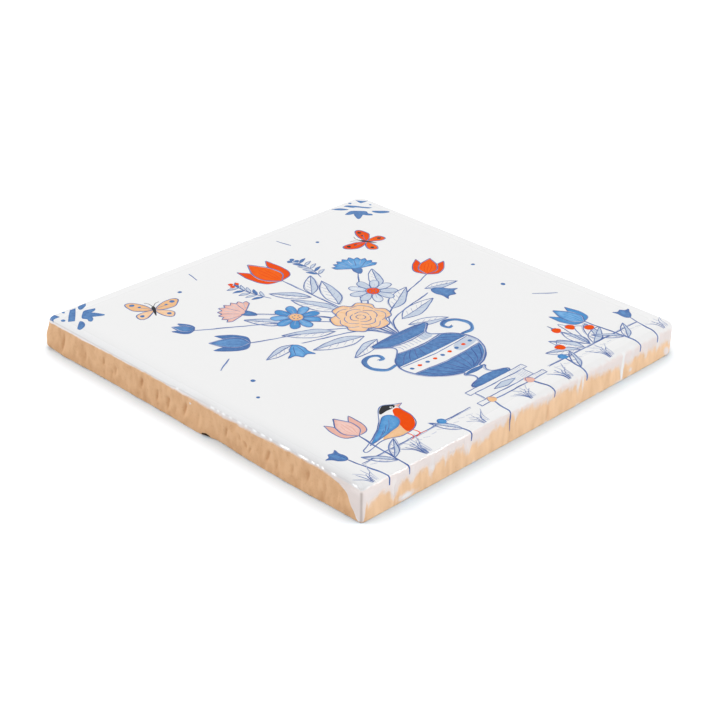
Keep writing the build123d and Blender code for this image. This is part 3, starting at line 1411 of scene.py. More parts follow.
@dataclass(frozen=True)
class Brush:
    """Draws a motif in its own coordinates, at its own place on the tile."""

    painting: Painting
    x: float = 0.0
    y: float = 0.0
    turn: float = 0.0
    size: float = 1.0
    flip: bool = False
    fineness: float = 0.77
    step: float = 0.42
    edge_step: float = 0.16
    edge_band: float = 3.0
    rim_step: float = 0.3
    # Lengths and shares of the waves in where a line goes, how wide it is and how much paint it has
    stray_waves: Points = ((1.3, 1.0), (0.55, 0.6))
    width_waves: Points = ((0.9, 0.14), (2.7, 0.1))
    load_waves: Points = ((2.1, 0.15),)
    touch_down: float = 0.8
    lift_off: float = 1.1
    end_load: float = 0.12
    faint_width: float = 0.7
    faint_load: float = 0.8
    dot_radii: Span = (0.85, 1.15)

    def _placed(self, points: Points) -> Array:
        """The motif's points on the tile.

        Args:
            points: Points in the motif's own coordinates.

        Returns:
            One x and y for each point.
        """
        local = np.array(points, float) * self.size * np.array([-1.0 if self.flip else 1.0, 1.0])
        angle = radians(self.turn)
        way = np.array([(cos(angle), sin(angle)), (-sin(angle), cos(angle))])
        return local @ way + np.array([self.x, self.y])

    def line(
        self, points: Points, width: float = 0.34, ink: Ink = Ink.COBALT, load: float = 0.75,
        looped: bool = False, taper: float = 0.45, wobble: float = 0.05,
    ) -> None:
        """Paints a line, thinner at its ends and never quite even.

        Args:
            points: Where it goes, a sharp corner's point twice.
            width: Its width in mm.
            ink: Its paint.
            load: How much paint the brush carries.
            looped: Whether it closes.
            taper: How much of its width it loses at its ends.
            wobble: How far it strays, in mm.
        """
        placed = self._placed(points)
        over_edge = placed[:, 1].min() < self.edge_band - self.painting.half_height
        path = flowing(placed, looped, self.edge_step if over_edge else self.step)
        run = np.linspace(0, 1, len(path)) * norm(np.diff(path, axis=0), axis=1).sum()
        starts = iter(self.painting.random.uniform(0, tau, 5))

        def swung(level: float, waves: Points) -> Array:
            """A level with waves added along the line."""
            return sum((share * np.sin(run / wave + next(starts)) for wave, share in waves), level)

        path = path + sideways(path) * (swung(0.0, self.stray_waves) * wobble)[:, None]
        ends = np.exp(-run / self.touch_down) + np.exp(-(run[-1] - run) / self.lift_off)
        uneven = swung(1.0, self.width_waves)
        widths = self.fineness * width * uneven * (1 - taper * np.minimum(ends, 1))
        loads = swung(load, self.load_waves) + self.end_load * ends
        self.painting.ribbon(ink, path, widths, loads)

    def sketch(
        self, points: Points, width: float = 0.34, apart: float = 0.35, looped: bool = False
    ) -> None:
        """Paints a line with a fainter one beside it, as from a quick hand.

        Args:
            points: Where it goes, a sharp corner's point twice.
            width: Its width in mm.
            apart: How far off the fainter line may lie, in mm.
            looped: Whether it closes.
        """
        moved = np.array(points, float) + self.painting.random.uniform(-apart, apart, 2) / self.size
        self.line(moved, width * self.faint_width, Ink.FAINT, self.faint_load, looped)
        self.line(points, width, looped=looped)

    def area(
        self, outline: Points, ink: Ink, load: float = 0.55, pooled: float = 0.3, grid: float = 0.8
    ) -> None:
        """Fills a smooth shape, with points inside it on a grid; a sharp corner's point is given twice."""
        path = flowing(self._placed(outline), True, min(self.rim_step, 0.7 * grid))[:-1]
        self.painting.patch(ink, path, load, pooled, grid)

    def dot(self, x: float, y: float, radius: float, ink: Ink = Ink.COBALT, load: float = 0.8) -> None:
        """Fills a small round spot, a little out of true.

        Args:
            x: Its middle, across.
            y: Its middle, up.
            radius: Its radius.
            ink: Its paint.
            load: How much paint it holds.
        """
        corners = 7
        angles = np.arange(corners) / corners * tau
        radii = radius * self.painting.random.uniform(*self.dot_radii, corners)
        ring = [(x + r * cos(a), y + r * sin(a)) for a, r in zip(angles, radii)]
        self.area(ring, ink, load, 0.1, 0.3)


@dataclass(frozen=True)
class CornerOrnament:
    """The lily in a corner of the tile, pointing to its middle, with a bar, two ovals and three spots.

    Its points are given along both edges from the corner, and spread to both sides of the diagonal.
    """

    spread: float
    tip: Points
    bar: Points
    oval: Points
    spots: Triples
    other_oval: Points = ((4.6, 6.9), (4.9, 8), (4, 9.5), (2.3, 10.3), (1.9, 9.6), (2.9, 8.4))
    lily: Points = (
        (5.8, 6), (7.4, 4.1), (8.4, 3.4), (9.6, 3.6), (11, 4.1), (11, 4.1), (10.3, 4.9), (9.1, 5.2),
        (9.1, 5.2), (9.9, 6.4), (10.6, 8), (10.1, 8.3), (8.9, 7.7), (7.9, 7.1), (7.9, 7.1), (7.3, 8.2),
        (6.4, 8.8), (6, 8.2), (6.3, 7.2),
    )

    def _inward(self, points: Points) -> list[tuple[float, float]]:
        """The same points with y running down."""
        wide = [((x - y) * self.spread, x + y) for x, y in points]
        return [((along + across) / 2, (across - along) / 2) for across, along in wide]

    def paint(self, brush: Brush) -> None:
        """Paints it with the corner at the brush's origin, x along one edge and y down the other.

        Args:
            brush: Draws it.
        """
        for outline in (self.tip, self.bar, self.oval, self.other_oval, self.lily):
            brush.area(self._inward(outline), Ink.BLUE, 0.65, 0.12, 0.2)
        for *middle, radius in self.spots:
            brush.dot(*self._inward([middle])[0], radius, Ink.BLUE, 0.5)


LEFT_ORNAMENT = CornerOrnament(
    1.0,
    (
        (0.3, 1.5), (0.3, 1.5), (1.2, 0.75), (2.35, 0.4), (2.35, 0.4), (2.65, 2.1), (2.65, 2.1),
        (1.15, 2.15), (0.6, 2.5), (0.15, 3.2), (0.15, 3.2), (0.3, 2.3),
    ),
    (
        (2.5, 5.3), (2.5, 5.3), (4.3, 3.1), (6.3, 0.9), (6.3, 0.9), (7.8, 1), (7.8, 1), (5.7, 3.8),
        (3.8, 6.1), (3.8, 6.1),
    ),
    ((8.0, 1.9), (8.8, 0.75), (10.9, 0.6), (10.9, 0.6), (10.2, 1.6), (8.4, 2.5)),
    ((4.5, 0.9, 0.4), (2.1, 4.1, 0.55)),
)
FAR_ORNAMENT = CornerOrnament(
    1.07,
    ((2.6, -0.7), (2.6, -0.7), (1.5, 0.9), (0.6, 1.6), (0.6, 1.6), (2.2, 1.6), (3.0, 1.3)),
    (
        (7.5, 0.25), (7.5, 0.25), (6.5, 0.2), (5.25, 1.7), (4.15, 3.65), (3, 5.45), (3, 5.45),
        (4.05, 5.1), (4.9, 3.9), (5.8, 2.55), (6.5, 2.2),
    ),
    ((8.0, 2.2), (9.05, 0.33), (11.1, -0.5), (11.1, -0.5), (9.8, 1.4), (8.5, 2.3)),
    ((5.0, -0.2, 0.42), (2.1, 3.8, 0.34)),
)


@dataclass(frozen=True)
class Tulip:
    """A tulip's head, its foot at the origin."""

    petals: Ink
    side: Points = (
        (0, 0), (0, 0), (-3.3, 1.1), (-4.4, 4.8), (-4, 9.4), (-4, 9.4), (-2.4, 7), (-1.5, 3.4),
    )
    middle: Points = ((0, 0), (0, 0), (-2.4, 2.6), (-2.3, 6.4), (0, 10.6), (0, 10.6), (2.3, 6.4), (2.4, 2.6))

    def paint(self, brush: Brush) -> None:
        """Paints two outer petals and one in front.

        Args:
            brush: Draws it.
        """
        for outline in (self.side, mirrored(self.side)):
            brush.area(outline, self.petals, 0.8)
            brush.line(outline, 0.3, looped=True)
        brush.area(self.middle, self.petals, 0.35, 0.5)
        for x in (-1.0, 0.0, 1.0):
            brush.line([(0.4 * x, 1.0), (x, 4.0), (0.8 * x, 7.4 - abs(x))], 0.28, self.petals, 1.3)
        brush.sketch(self.middle, 0.34, 0.25, True)


@dataclass(frozen=True)
class Carnation:
    """A fringed flower's head, its foot at the origin."""

    petals: Ink
    fringe: int = 9
    reach: float = 7.2
    cup: Points = (
        (-1.2, 1.2), (-1.2, 1.2), (-1, -0.6), (0, -2.2), (1, -0.6), (1.2, 1.2), (1.2, 1.2), (0, 0.7),
    )

    def paint(self, brush: Brush) -> None:
        """Paints the fan of petals and the cup under it.

        Args:
            brush: Draws it.
        """
        spread = np.radians(np.linspace(-72, 72, 2 * self.fringe + 1))
        tips = []
        for k, angle in enumerate(spread):
            radius = self.reach * (1.0 if k % 2 else 0.84) * (1.0 - 0.12 * abs(angle))
            tips += [(radius * sin(angle), radius * cos(angle))] * 2
        outline = [(-0.9, 0.8), *tips, (0.9, 0.8)]
        brush.area(outline, self.petals, 0.5, 0.45)
        for k, angle in enumerate(spread[2:-2:2]):
            inner = 2.0 + k % 2
            radii = (inner, self.reach * 0.5, self.reach * 0.76)
            fold = [(r * sin(angle), r * cos(angle)) for r in radii]
            brush.line(fold, 0.24, Ink.FAINT if k % 2 else Ink.COBALT, 0.6)
        brush.line(outline, 0.3, looped=True, wobble=0.02)
        brush.area(self.cup, Ink.BLUE, 0.6)
        brush.line(self.cup, 0.26, looped=True)


@dataclass(frozen=True)
class Daisy:
    """An open flower seen from the front."""

    petals: Ink
    heart: Ink
    count: int = 9

    def paint(self, brush: Brush) -> None:
        """Paints the petals round the heart.

        Args:
            brush: Draws it.
        """
        for k in range(self.count):
            angle = tau * k / self.count + 0.2
            way, side = (cos(angle), sin(angle)), (-sin(angle), cos(angle))
            shape = ((1.2, 0.0), (2.6, 0.9), (4.6, 1.25), (5.7, 0.3), (5.3, -0.7), (3.2, -1.0))
            petal = [(r * way[0] + w * side[0], r * way[1] + w * side[1]) for r, w in shape]
            brush.area(petal, self.petals, 0.3 + 0.25 * (k % 3), 0.35)
            brush.line(petal, 0.26, looped=True)
            brush.line([(r * way[0], r * way[1]) for r in (2.0, 3.0, 3.9)], 0.2, Ink.FAINT, 0.8)
        brush.dot(0, 0, 1.7, self.heart, 0.7)
        ring = [(1.7 * cos(a), 1.7 * sin(a)) for a in np.arange(8) * pi / 4]
        brush.line(ring, 0.28, looped=True)
        for k in range(6):
            brush.dot(0.8 * cos(k * 1.05), 0.8 * sin(k * 1.05), 0.2)


@dataclass(frozen=True)
class Rose:
    """A full rose seen from the front."""

    petals: Ink
    lobes: int = 6

    def paint(self, brush: Brush) -> None:
        """Paints the scalloped outer petals and the curled inner ones.

        Args:
            brush: Draws it.
        """
        outline = []
        for k in range(self.lobes):
            start = tau * k / self.lobes
            for share, radius in ((0.0, 5.6), (0.28, 7.0), (0.72, 7.1)):
                angle = start + share * tau / self.lobes
                outline.append((radius * cos(angle), radius * sin(angle)))
        brush.area(outline, self.petals, 0.4, 0.5)
        brush.sketch(outline, 0.34, 0.3, True)
        for ring, (radius, arcs) in enumerate(((5.3, 5), (3.7, 4), (2.3, 3), (1.1, 2))):
            for k in range(arcs):
                start = tau * (k + 0.37 * ring) / arcs
                bend = [start + share * tau / arcs for share in (0.04, 0.3, 0.62, 0.96)]
                swell = (0.94, 1.06, 1.08, 0.9)
                arc = [(radius * s * cos(a), radius * s * sin(a)) for s, a in zip(swell, bend)]
                brush.line(arc, 0.3, load=0.55 + 0.1 * ring)
        for k in range(5):
            angle = 0.5 + k * 1.25
            shade = [(r * cos(angle), r * sin(angle)) for r in (4.0, 4.7, 5.2)]
            brush.line(shade, 0.5, self.petals, 1.4)


@dataclass(frozen=True)
class Bellflower:
    """A hanging bell, its stalk at the origin."""

    petals: Ink
    bell: Points = (
        (-0.7, 0), (-1.7, -1.6), (-2, -3.4), (-3.1, -5.2), (-3.1, -5.2), (-1.4, -4.7), (0, -5.8),
        (0, -5.8), (1.4, -4.7), (3.1, -5.2), (3.1, -5.2), (2, -3.4), (1.7, -1.6), (0.7, 0),
    )

    def paint(self, brush: Brush) -> None:
        """Paints the bell and its ribs.

        Args:
            brush: Draws it.
        """
        brush.area(self.bell, self.petals, 0.5, 0.4)
        brush.line(self.bell, 0.3, looped=True)
        for x in (-0.8, 0.8):
            brush.line([(0.5 * x, -0.6), (1.1 * x, -2.6), (1.3 * x, -4.2)], 0.24)


@dataclass(frozen=True)
class Leaf:
    """A pointed leaf with its stalk at the origin."""

    length: float = 10.0
    breadth: float = 3.0
    veins: int = 4

    def paint(self, brush: Brush) -> None:
        """Paints a wash on one half, the outline, the midrib and the veins.

        Args:
            brush: Draws it.
        """
        wide, long = self.breadth, self.length
        right = [(0.0, 0.0), (0.5 * wide, 0.3 * long), (0.4 * wide, 0.68 * long)]
        tip = (0.1 * wide, long)
        rib = [(0.0, 0.0), (0.06 * wide, 0.5 * long), tip]
        left = [(-0.34 * wide, 0.7 * long), (-0.46 * wide, 0.32 * long)]
        brush.area([right[0], *right, tip, tip, rib[1]], Ink.WASH, 0.75, 0.2)
        brush.sketch([right[0], *right, tip, tip, *left], 0.3, 0.25, True)
        brush.line(rib, 0.26)
        for k in range(self.veins):
            up = (0.2 + 0.6 * k / self.veins) * long
            for side in (-0.3, 0.32):
                vein = [(0, up), (side * wide * (1 - 0.12 * k), up + 0.1 * long)]
                brush.line(vein, 0.18, Ink.FAINT, 0.9)


@dataclass(frozen=True)
class Butterfly:
    """A butterfly with open wings."""

    wings: Ink
    spots: Ink
    upper: Points = ((0.2, 0.2), (0.2, 0.2), (2.2, 3.3), (5.6, 5.4), (7.2, 4.4), (5.8, 1), (2.4, -0.2))
    lower: Points = (
        (0.2, -0.2), (0.2, -0.2), (2.9, -0.7), (5, -2.4), (4.3, -4.8), (2.3, -4.2), (0.7, -1.8),
    )

    def paint(self, brush: Brush) -> None:
        """Paints four wings, the body and the feelers.

        Args:
            brush: Draws it.
        """
        for side in (1, -1):
            for wing, load in ((self.upper, 0.75), (self.lower, 0.35)):
                outline = [(side * x, y) for x, y in wing]
                brush.area(outline, self.wings, load)
                brush.line(outline, 0.34, looped=True)
            for x, y, radius in ((5.4, 3.9, 0.7), (3.6, 2.4, 0.45), (3.6, -3.0, 0.65)):
                brush.dot(side * x, y, radius, self.spots)
            brush.line([(0, 0), (side * 2.0, 1.3), (side * 4.3, 2.4)], 0.2)
            brush.line([(0.1 * side, 2.0), (side * 0.9, 3.8), (side * 2.0, 4.6)], 0.22, Ink.BLACK, taper=0.2)
        body = ((0, 2.2), (0.5, 1.4), (0.42, -0.6), (0, -3.6), (-0.42, -0.6), (-0.5, 1.4))
        brush.area(body, Ink.BLACK, 0.9)


@dataclass(frozen=True)
class Bird:
    """A small bird standing on the ground, its feet at the origin, looking to the right."""

    outline: Points = (
        (7.6, 9.5), (7.6, 9.5), (6, 10.4), (4.4, 11.6), (2.5, 10.9), (-0.4, 8.4), (-4.2, 5.9), (-10.2, 3.6),
        (-10.2, 3.6), (-9.8, 2.8), (-4.8, 3.3), (-1.2, 1.8), (2.6, 2.2), (5.2, 4.9), (5.9, 8.6), (6.2, 9.1),
    )
    breast: Points = ((5.8, 8.6), (5.1, 5), (2.8, 2.4), (0.4, 2.1), (1.3, 4.8), (3, 7.4), (4.5, 9.1))
    belly: Points = ((0.6, 2.1), (1.3, 4.6), (-2.6, 4.3), (-4.8, 3.4), (-1.4, 2))
    cap: Points = ((6, 9.8), (5.6, 10.8), (4.4, 11.5), (2.6, 10.8), (1.6, 9.7), (3.4, 9.7), (4.8, 9.5))
    wing: Points = (
        (2.9, 8), (1, 8.7), (-3.6, 6), (-8.2, 3.8), (-8.2, 3.8), (-3, 4.2), (0.6, 4.6),
        (2.5, 6),
    )
    beak: Points = ((5.9, 9.9), (5.9, 9.9), (7.6, 9.5), (7.6, 9.5), (6, 9), (6, 9))

    def paint(self, brush: Brush) -> None:
        """Paints its colours, then its outline, feathers and legs.

        Args:
            brush: Draws it.
        """
        for x in (-0.4, 1.3):
            brush.line([(x, 2.3), (x + 0.3, 0.9), (x + 0.1, 0.0)], 0.34, Ink.ORANGE, 1.0, taper=0.1)
            for toe in (-1.0, 0.9, 1.6):
                brush.line([(x + 0.1, 0.05), (x + toe, -0.25)], 0.26, Ink.ORANGE, 1.0, taper=0.2)
        for outline, ink, load in (
            (self.belly, Ink.PEACH, 0.6), (self.breast, Ink.ORANGE, 0.85), (self.wing, Ink.SKY, 0.65),
            (self.cap, Ink.BLACK, 0.9), (self.beak, Ink.PINK, 0.8),
        ):
            brush.area(outline, ink, load)
        brush.line(self.outline, 0.3, looped=True)
        brush.line(self.wing, 0.26, looped=True)
        for k in range(4):
            start = 1.2 - 1.7 * k
            feather = [(start, 7.4 - 0.9 * k), (start - 1.6, 5.9 - 0.6 * k), (start - 3.2, 4.9 - 0.3 * k)]
            brush.line(feather, 0.24)
        brush.dot(5.0, 9.9, 0.32, Ink.WHITE)
        brush.dot(5.05, 9.9, 0.16, Ink.BLACK)


@dataclass(frozen=True)
class Urn:
    """A footed flower urn with two scroll handles, the middle of its foot at the origin."""

    foot: Points = ((5.4, 0), (5.4, 0), (5.8, 0.9), (4.8, 1.5), (2.6, 2.3), (2.6, 2.3))
    bowl: Points = ((10.5, 13), (10.5, 13), (8.7, 9.9), (5.2, 7.2), (2.3, 6.1), (2.3, 6.1))
    shoulder: Points = ((10.8, 17.2), (10.8, 17.2), (9.5, 19.6), (6.8, 21.7), (6.8, 21.7))
    lip: Points = ((5.6, 24.7), (5.6, 24.7), (7.4, 26.1), (8.5, 27), (8.3, 27.9), (8.3, 27.9))
    side: Points = (
        (5.4, 0), (5.8, 0.9), (4.8, 1.5), (2.6, 2.3), (2, 3.5), (2.5, 4.6), (3.3, 5.3), (2.4, 6),
        (5.2, 7.2), (8.7, 9.9), (10.7, 13.6), (10.9, 16.6), (9.5, 19.6), (6.8, 21.7), (5.3, 23.3),
        (5.6, 24.7), (7.4, 26.1), (8.5, 27), (8.3, 27.9),
    )
    handle: Points = (
        (10.4, 18.4), (13.4, 18.2), (15.4, 20.6), (14.8, 23.6), (12.4, 25), (10.3, 24), (10.5, 22.3),
        (11.7, 22.4),
    )

    def paint(self, brush: Brush) -> None:
        """Paints its blue bands, white bands, outline, flutes and handles.

        Args:
            brush: Draws it.
        """
        for half, sag, rise in (
            (self.foot, -0.2, 0.3), (self.bowl, -0.8, 0.0),
            (self.shoulder, -0.2, -0.6), (self.lip, -0.2, 0.4),
        ):
            under, over = (0.0, half[0][1] + sag), (0.0, half[-1][1] + rise)
            brush.area([under, *half, over, *reversed(mirrored(half))], Ink.BLUE, 0.6, 0.3)
        brush.area(((-3.3, 5.3), (0, 4.6), (3.3, 5.3), (0, 6.0)), Ink.BLUE, 0.8)
        brush.area(((2.2, 22.2), (5.2, 22.4), (5.3, 24.4), (2.8, 24.2)), Ink.WASH, 0.9)
        brush.area(((4.5, 13.3), (10.2, 14.0), (10.4, 16.5), (5.0, 15.9)), Ink.WASH, 0.9)
        for k in range(-4, 5):
            flute = [(0.55 * k, 6.6), (1.5 * k, 8.6), (2.25 * k, 12.2 + 0.012 * k * k)]
            brush.line(flute, 0.36, load=0.95)
            petal = [(1.1 * k, 21.0), (1.75 * k, 19.4), (2.35 * k, 17.3)]
            brush.line(petal, 0.3, load=0.85)
            brush.dot(2.3 * k, 14.6 + 0.02 * k * k, 0.5, Ink.ORANGE if k % 2 else Ink.BLUE)
            brush.line([(1.1 * k, 22.0), (1.05 * k, 23.2), (1.2 * k, 24.3)], 0.2, Ink.FAINT, 0.9)
        for up, reach in ((13.0, 10.5), (16.9, 10.9), (21.7, 6.8), (24.7, 5.6)):
            brush.sketch([(-reach, up), (0, up - 0.75), (reach, up)], 0.3)
        for side in (self.side, mirrored(self.side)):
            brush.sketch(side, 0.44)
        for handle in (self.handle, mirrored(self.handle)):
            brush.line(handle, 1.35, Ink.BLUE, 0.7, taper=0.5)
            brush.line([(x * 1.02, y + 0.35) for x, y in handle], 0.26, load=0.95)
        brush.line([(-8.3, 27.9), (0, 28.5), (8.3, 27.9)], 0.4)
        brush.line([(-8.3, 27.9), (0, 27.3), (8.3, 27.9)], 0.3)


@dataclass(frozen=True)
class Plinth:
    """The stepped stone under the urn, the middle of its top at the origin."""

    steps: Triples = ((9.0, 0.0, -1.5), (7.6, -1.5, -4.6), (10.4, -4.6, -6.0))

    def paint(self, brush: Brush) -> None:
        """Paints each step's outline, the moulding lines and the shaded side.

        Args:
            brush: Draws it.
        """
        for half, top, foot in self.steps:
            corner = ((-half, top), (half, top), (half, foot), (-half, foot))
            brush.area([point for point in corner for _ in (0, 1)], Ink.WHITE, 0.5, 0.0)
            for start, end in zip(corner, corner[1:] + corner[:1]):
                brush.sketch([start, ((start[0] + end[0]) / 2, (start[1] + end[1]) / 2), end], 0.34, 0.25)
            for k in range(9):
                x = half - 0.45 - 0.5 * k
                brush.line([(x, top - 0.2), (x - 0.3, foot + 0.2)], 0.18, Ink.FAINT, 0.9 - 0.06 * k)
        diamond = ((-3.4, -3.05), (0, -2.0), (3.4, -3.05), (0, -4.1))
        brush.area([point for point in diamond for _ in (0, 1)], Ink.WASH, 0.9)
        brush.line([point for point in diamond for _ in (0, 1)], 0.28, looped=True)


@dataclass(frozen=True)
class Tuft:
    """Blades of grass growing from the origin."""

    blades: int = 5
    height: float = 6.0
    ink: Ink = Ink.COBALT

    def paint(self, brush: Brush) -> None:
        """Paints blades that lean out from the middle.

        Args:
            brush: Draws it.
        """
        for k in range(self.blades):
            lean = (k - (self.blades - 1) / 2) / self.blades
            tall = self.height * brush.painting.random.uniform(0.65, 1.0)
            blade = [(0.8 * lean, 0), (2.2 * lean, 0.55 * tall), (6.5 * lean, tall)]
            brush.line(blade, 0.32, self.ink, 0.7, taper=0.7)


@dataclass(frozen=True)
class Sprig:
    """A curved twig from the origin with leaflets on both sides and berries at its tip."""

    length: float = 12.0
    bend: float = 3.0
    berries: Ink = Ink.ORANGE
    leaflets: int = 5

    def paint(self, brush: Brush) -> None:
        """Paints the twig, then leaflets and berries along it.

        Args:
            brush: Draws it.
        """
        stem = [(self.bend * s * s, self.length * s) for s in (0, 0.33, 0.66, 1)]
        brush.line(stem, 0.3)
        for k in range(1, self.leaflets + 1):
            share = k / (self.leaflets + 1)
            x, y = self.bend * share * share, self.length * share
            for side in (-1, 1):
                leaf = [(x, y), (x, y), (x + side * 1.1, y + 0.5), (x + side * 2.4, y + 2.0)]
                shape = [*leaf, leaf[-1], (x + side * 0.9, y + 1.5)]
                brush.area(shape, Ink.BLUE if (k + side) % 3 == 0 else Ink.WASH, 0.6)
                brush.line(shape, 0.22, looped=True)
        for x, y in ((0, 0.6), (-0.9, -0.3), (0.8, -0.6)):
            brush.dot(self.bend + x, self.length + y, 0.6, self.berries)
            brush.line([(self.bend + x - 0.5, self.length + y), (self.bend + x, self.length + y + 0.6)], 0.2)


@dataclass
class FlowerPiece:
    """The picture on the tile: an urn of flowers, a bird, butterflies and plants along the bottom edge."""

    painting: Painting
    urn_x: float = 1.0
    urn_y: float = -38.5
    far_corner_in: Span = (0.15, 1.9)

    def _put(self, motif: Any, *place: float, flip: bool = False) -> None:
        """Paints a motif at an x and a y, where given turned by so many degrees and scaled."""
        motif.paint(Brush(self.painting, *place, flip=flip))

    def paint(self) -> None:
        """Paints the whole picture, from back to front."""
        half = self.painting.half_height
        self._put(LEFT_ORNAMENT, -half, half)
        self._put(FAR_ORNAMENT, *(half - gap for gap in self.far_corner_in), flip=True)
        self._stems()
        self._flowers()
        self._put(Plinth(), self.urn_x, self.urn_y)
        self._put(Urn(), self.urn_x, self.urn_y)
        self._around()
        self._bottom()

    def _stems(self) -> None:
        """Paints the stalks out of the urn's mouth and the leaves on them."""
        brush = Brush(self.painting)
        mouth = (self.urn_x, self.urn_y + 27)
        heads = (
            (1, 27), (-16, 20), (18, 19), (-9, 12), (12, 10), (-25, 9), (28, 6), (-17, 1), (21, -1),
            (-30, 22),
        )
        for x, y in heads:
            lean = mouth[0] + 0.25 * (x - mouth[0])
            brush.sketch([mouth, (lean, mouth[1] + 0.45 * (y - mouth[1]) + 2), (x, y)], 0.4, 0.3)
        for x, y, turn, length in (
            (0, 6, 22, 13), (2, 9, -24, 13), (-8, 0, 58, 12), (9, -1, -60, 12), (-5, -6, 78, 13),
            (7, -6, -78, 13), (-13, 10, 38, 10), (15, 9, -34, 10), (-19, 2, 100, 9), (22, 1, -104, 9),
            (0, 16, 38, 10), (1, 17, -40, 10), (-4, -9, 108, 10), (6, -9, -110, 10),
        ):
            self._put(Leaf(length, 0.32 * length), x, y, turn)

    def _flowers(self) -> None:
        """Paints the flowers of the bouquet."""
        for motif, *place in (
            (Sprig(11, 3, Ink.ORANGE), -7, 22, 24), (Sprig(11, -3, Ink.BLUE), 9, 22, -22),
            (Bellflower(Ink.SKY), -19, 1.5, -24), (Bellflower(Ink.BLUE), 23, -0.5, 22),
            (Tulip(Ink.BLUE), -25, 9, 48, 0.85), (Tulip(Ink.ORANGE), 28, 6, -52, 0.85),
            (Carnation(Ink.PINK), -16, 20, 26), (Carnation(Ink.SKY), 18, 19, -28),
            (Tulip(Ink.ORANGE), 1, 27, 0, 1.15), (Daisy(Ink.SKY, Ink.PEACH), -9.5, 11, 10),
            (Daisy(Ink.WASH, Ink.ORANGE), 12.5, 8.5, -12), (Rose(Ink.PEACH), 1, 1, 8),
            (Tulip(Ink.BLUE), -30, 22, 30, 0.5),
        ):
            self._put(motif, *place)

    def _around(self) -> None:
        """Paints the butterflies, the bird, the ground and small touches."""
        self._put(Butterfly(Ink.PEACH, Ink.BLUE), -30, 36, -30, 0.85)
        self._put(Butterfly(Ink.ORANGE, Ink.BLACK), 31, 29, 28, 0.8)
        ground = Brush(self.painting)
        for start, end in ((-43, -11.5), (13.5, 44)):
            knots = np.linspace(start, end, 6)
            ground.sketch([(x, -43.6 + 0.5 * sin(x)) for x in knots], 0.4)
            for k, x in enumerate(np.arange(start + 1, end - 2, 2.1)):
                dash = [(x, -44.4 - 0.3 * (k % 3)), (x + 1.4, -45.0 - 0.3 * (k % 2))]
                ground.line(dash, 0.2, Ink.FAINT, 0.9)
        self._put(Bird(), -28, -43.2, 4, 1.1)
        for x, y, turn in ((26, -43, 30), (28, -43, 4), (31, -43, -26), (29, -43, -58), (24.5, -43, 62)):
            self._put(Leaf(8, 3.2), x, y, turn)
        for x, y in ((22, -38.5), (27.5, -33), (34, -37), (31, -34)):
            ground.line([(28, -43), (0.4 * 28 + 0.6 * x, y + 1.5), (x, y)], 0.26)
            ground.dot(x, y - 0.8, 1.15, Ink.ORANGE)
            ground.line([(x - 0.8, y), (x, y + 0.3), (x + 0.8, y)], 0.36)
        touches = ((-38, 4, 5.5, 30), (38, -18, 6, -40), (-13, 41, 4, 80), (16, 40, 4.5, 100))
        for x, y, length, turn in touches:
            angle = radians(turn)
            ground.line([(x, y), (x + length * cos(angle), y + length * sin(angle))], 0.5, load=0.6)
        for x, y, radius in (
            (-36, -4, 0.6), (-40, -10, 0.45), (37, -10, 0.6), (40, 2, 0.5), (-20, 39, 0.5), (22, 37, 0.5),
        ):
            ground.dot(x, y, radius, Ink.BLUE)

    def _bottom(self) -> None:
        """Paints plants whose stalks run over the bottom edge."""
        edge = -self.painting.half_height
        low = Brush(self.painting)
        for x, tall, lean in (
            (-42.5, 10, -1.5), (-37, 15, 1), (-19, 7, -1), (-7, 6, 1), (7, 6, -1), (18, 7.5, 1),
            (36.5, 15, -1), (43, 9, 1.5),
        ):
            upper = [(x + 0.4 * lean, edge + 0.5 * tall), (x + lean, edge + tall)]
            low.line([(x, edge - 1.6), (x + 0.1, edge + 1), *upper], 0.5)
        for x, turn, petals in ((-36, -6, Ink.PINK), (35.5, 6, Ink.SKY)):
            self._put(Tulip(petals), x, edge + 14.6, turn, 0.8)
        for x, y, turn in ((-44, 10, 20), (44.5, 9, -20)):
            self._put(Bellflower(Ink.BLUE), x, edge + y, turn + 180, 0.7)
        for x, y, turn in (
            (-37, 3, 40), (-36.8, 4, -42), (36.4, 3, -40), (36.2, 4, 42), (-19, 2, 30), (18.3, 2, -30),
        ):
            self._put(Leaf(8, 2.2, 3), x, edge + y, turn, 0.9)
        for x, y, ink in ((-20, 7, Ink.SKY), (-6, 6, Ink.PEACH), (6, 6, Ink.PINK), (19, 7.5, Ink.SKY)):
            low.dot(x, edge + y, 1.1, ink)
            low.line([(x - 1.1, edge + y - 0.2), (x, edge + y + 1.1), (x + 1.1, edge + y - 0.2)], 0.26)
        for x, blades, tall in (
            (-46, 4, 4.5), (-31, 6, 6), (-14, 5, 4), (0.5, 6, 4), (13, 5, 4.5), (27, 6, 5), (46.5, 3, 4),
        ):
            self._put(Tuft(blades, tall), x, edge + 0.6)
            self._put(Tuft(3, tall * 1.2, Ink.FAINT), x + 1.2, edge + 0.8)


class LampKind(Enum):
    """What a lamp is for: to light the surfaces, or to show in their gloss alone."""

    SOFTBOX = "softbox"
    GLINT = "glint"


@dataclass(frozen=True)
class Lamp:
    """A square area light that faces the tile; angles are in degrees, its power in watts."""

    name: str
    kind: LampKind
    turn: float
    lift: float
    power: float


def outward(turn: float, lift: float) -> Vector:
    """The way to something round the tile, by degrees from the bottom edge and above the floor."""
    angle, height = radians(turn), radians(lift)
    return Vector((sin(angle) * cos(height), -cos(angle) * cos(height), sin(height)))


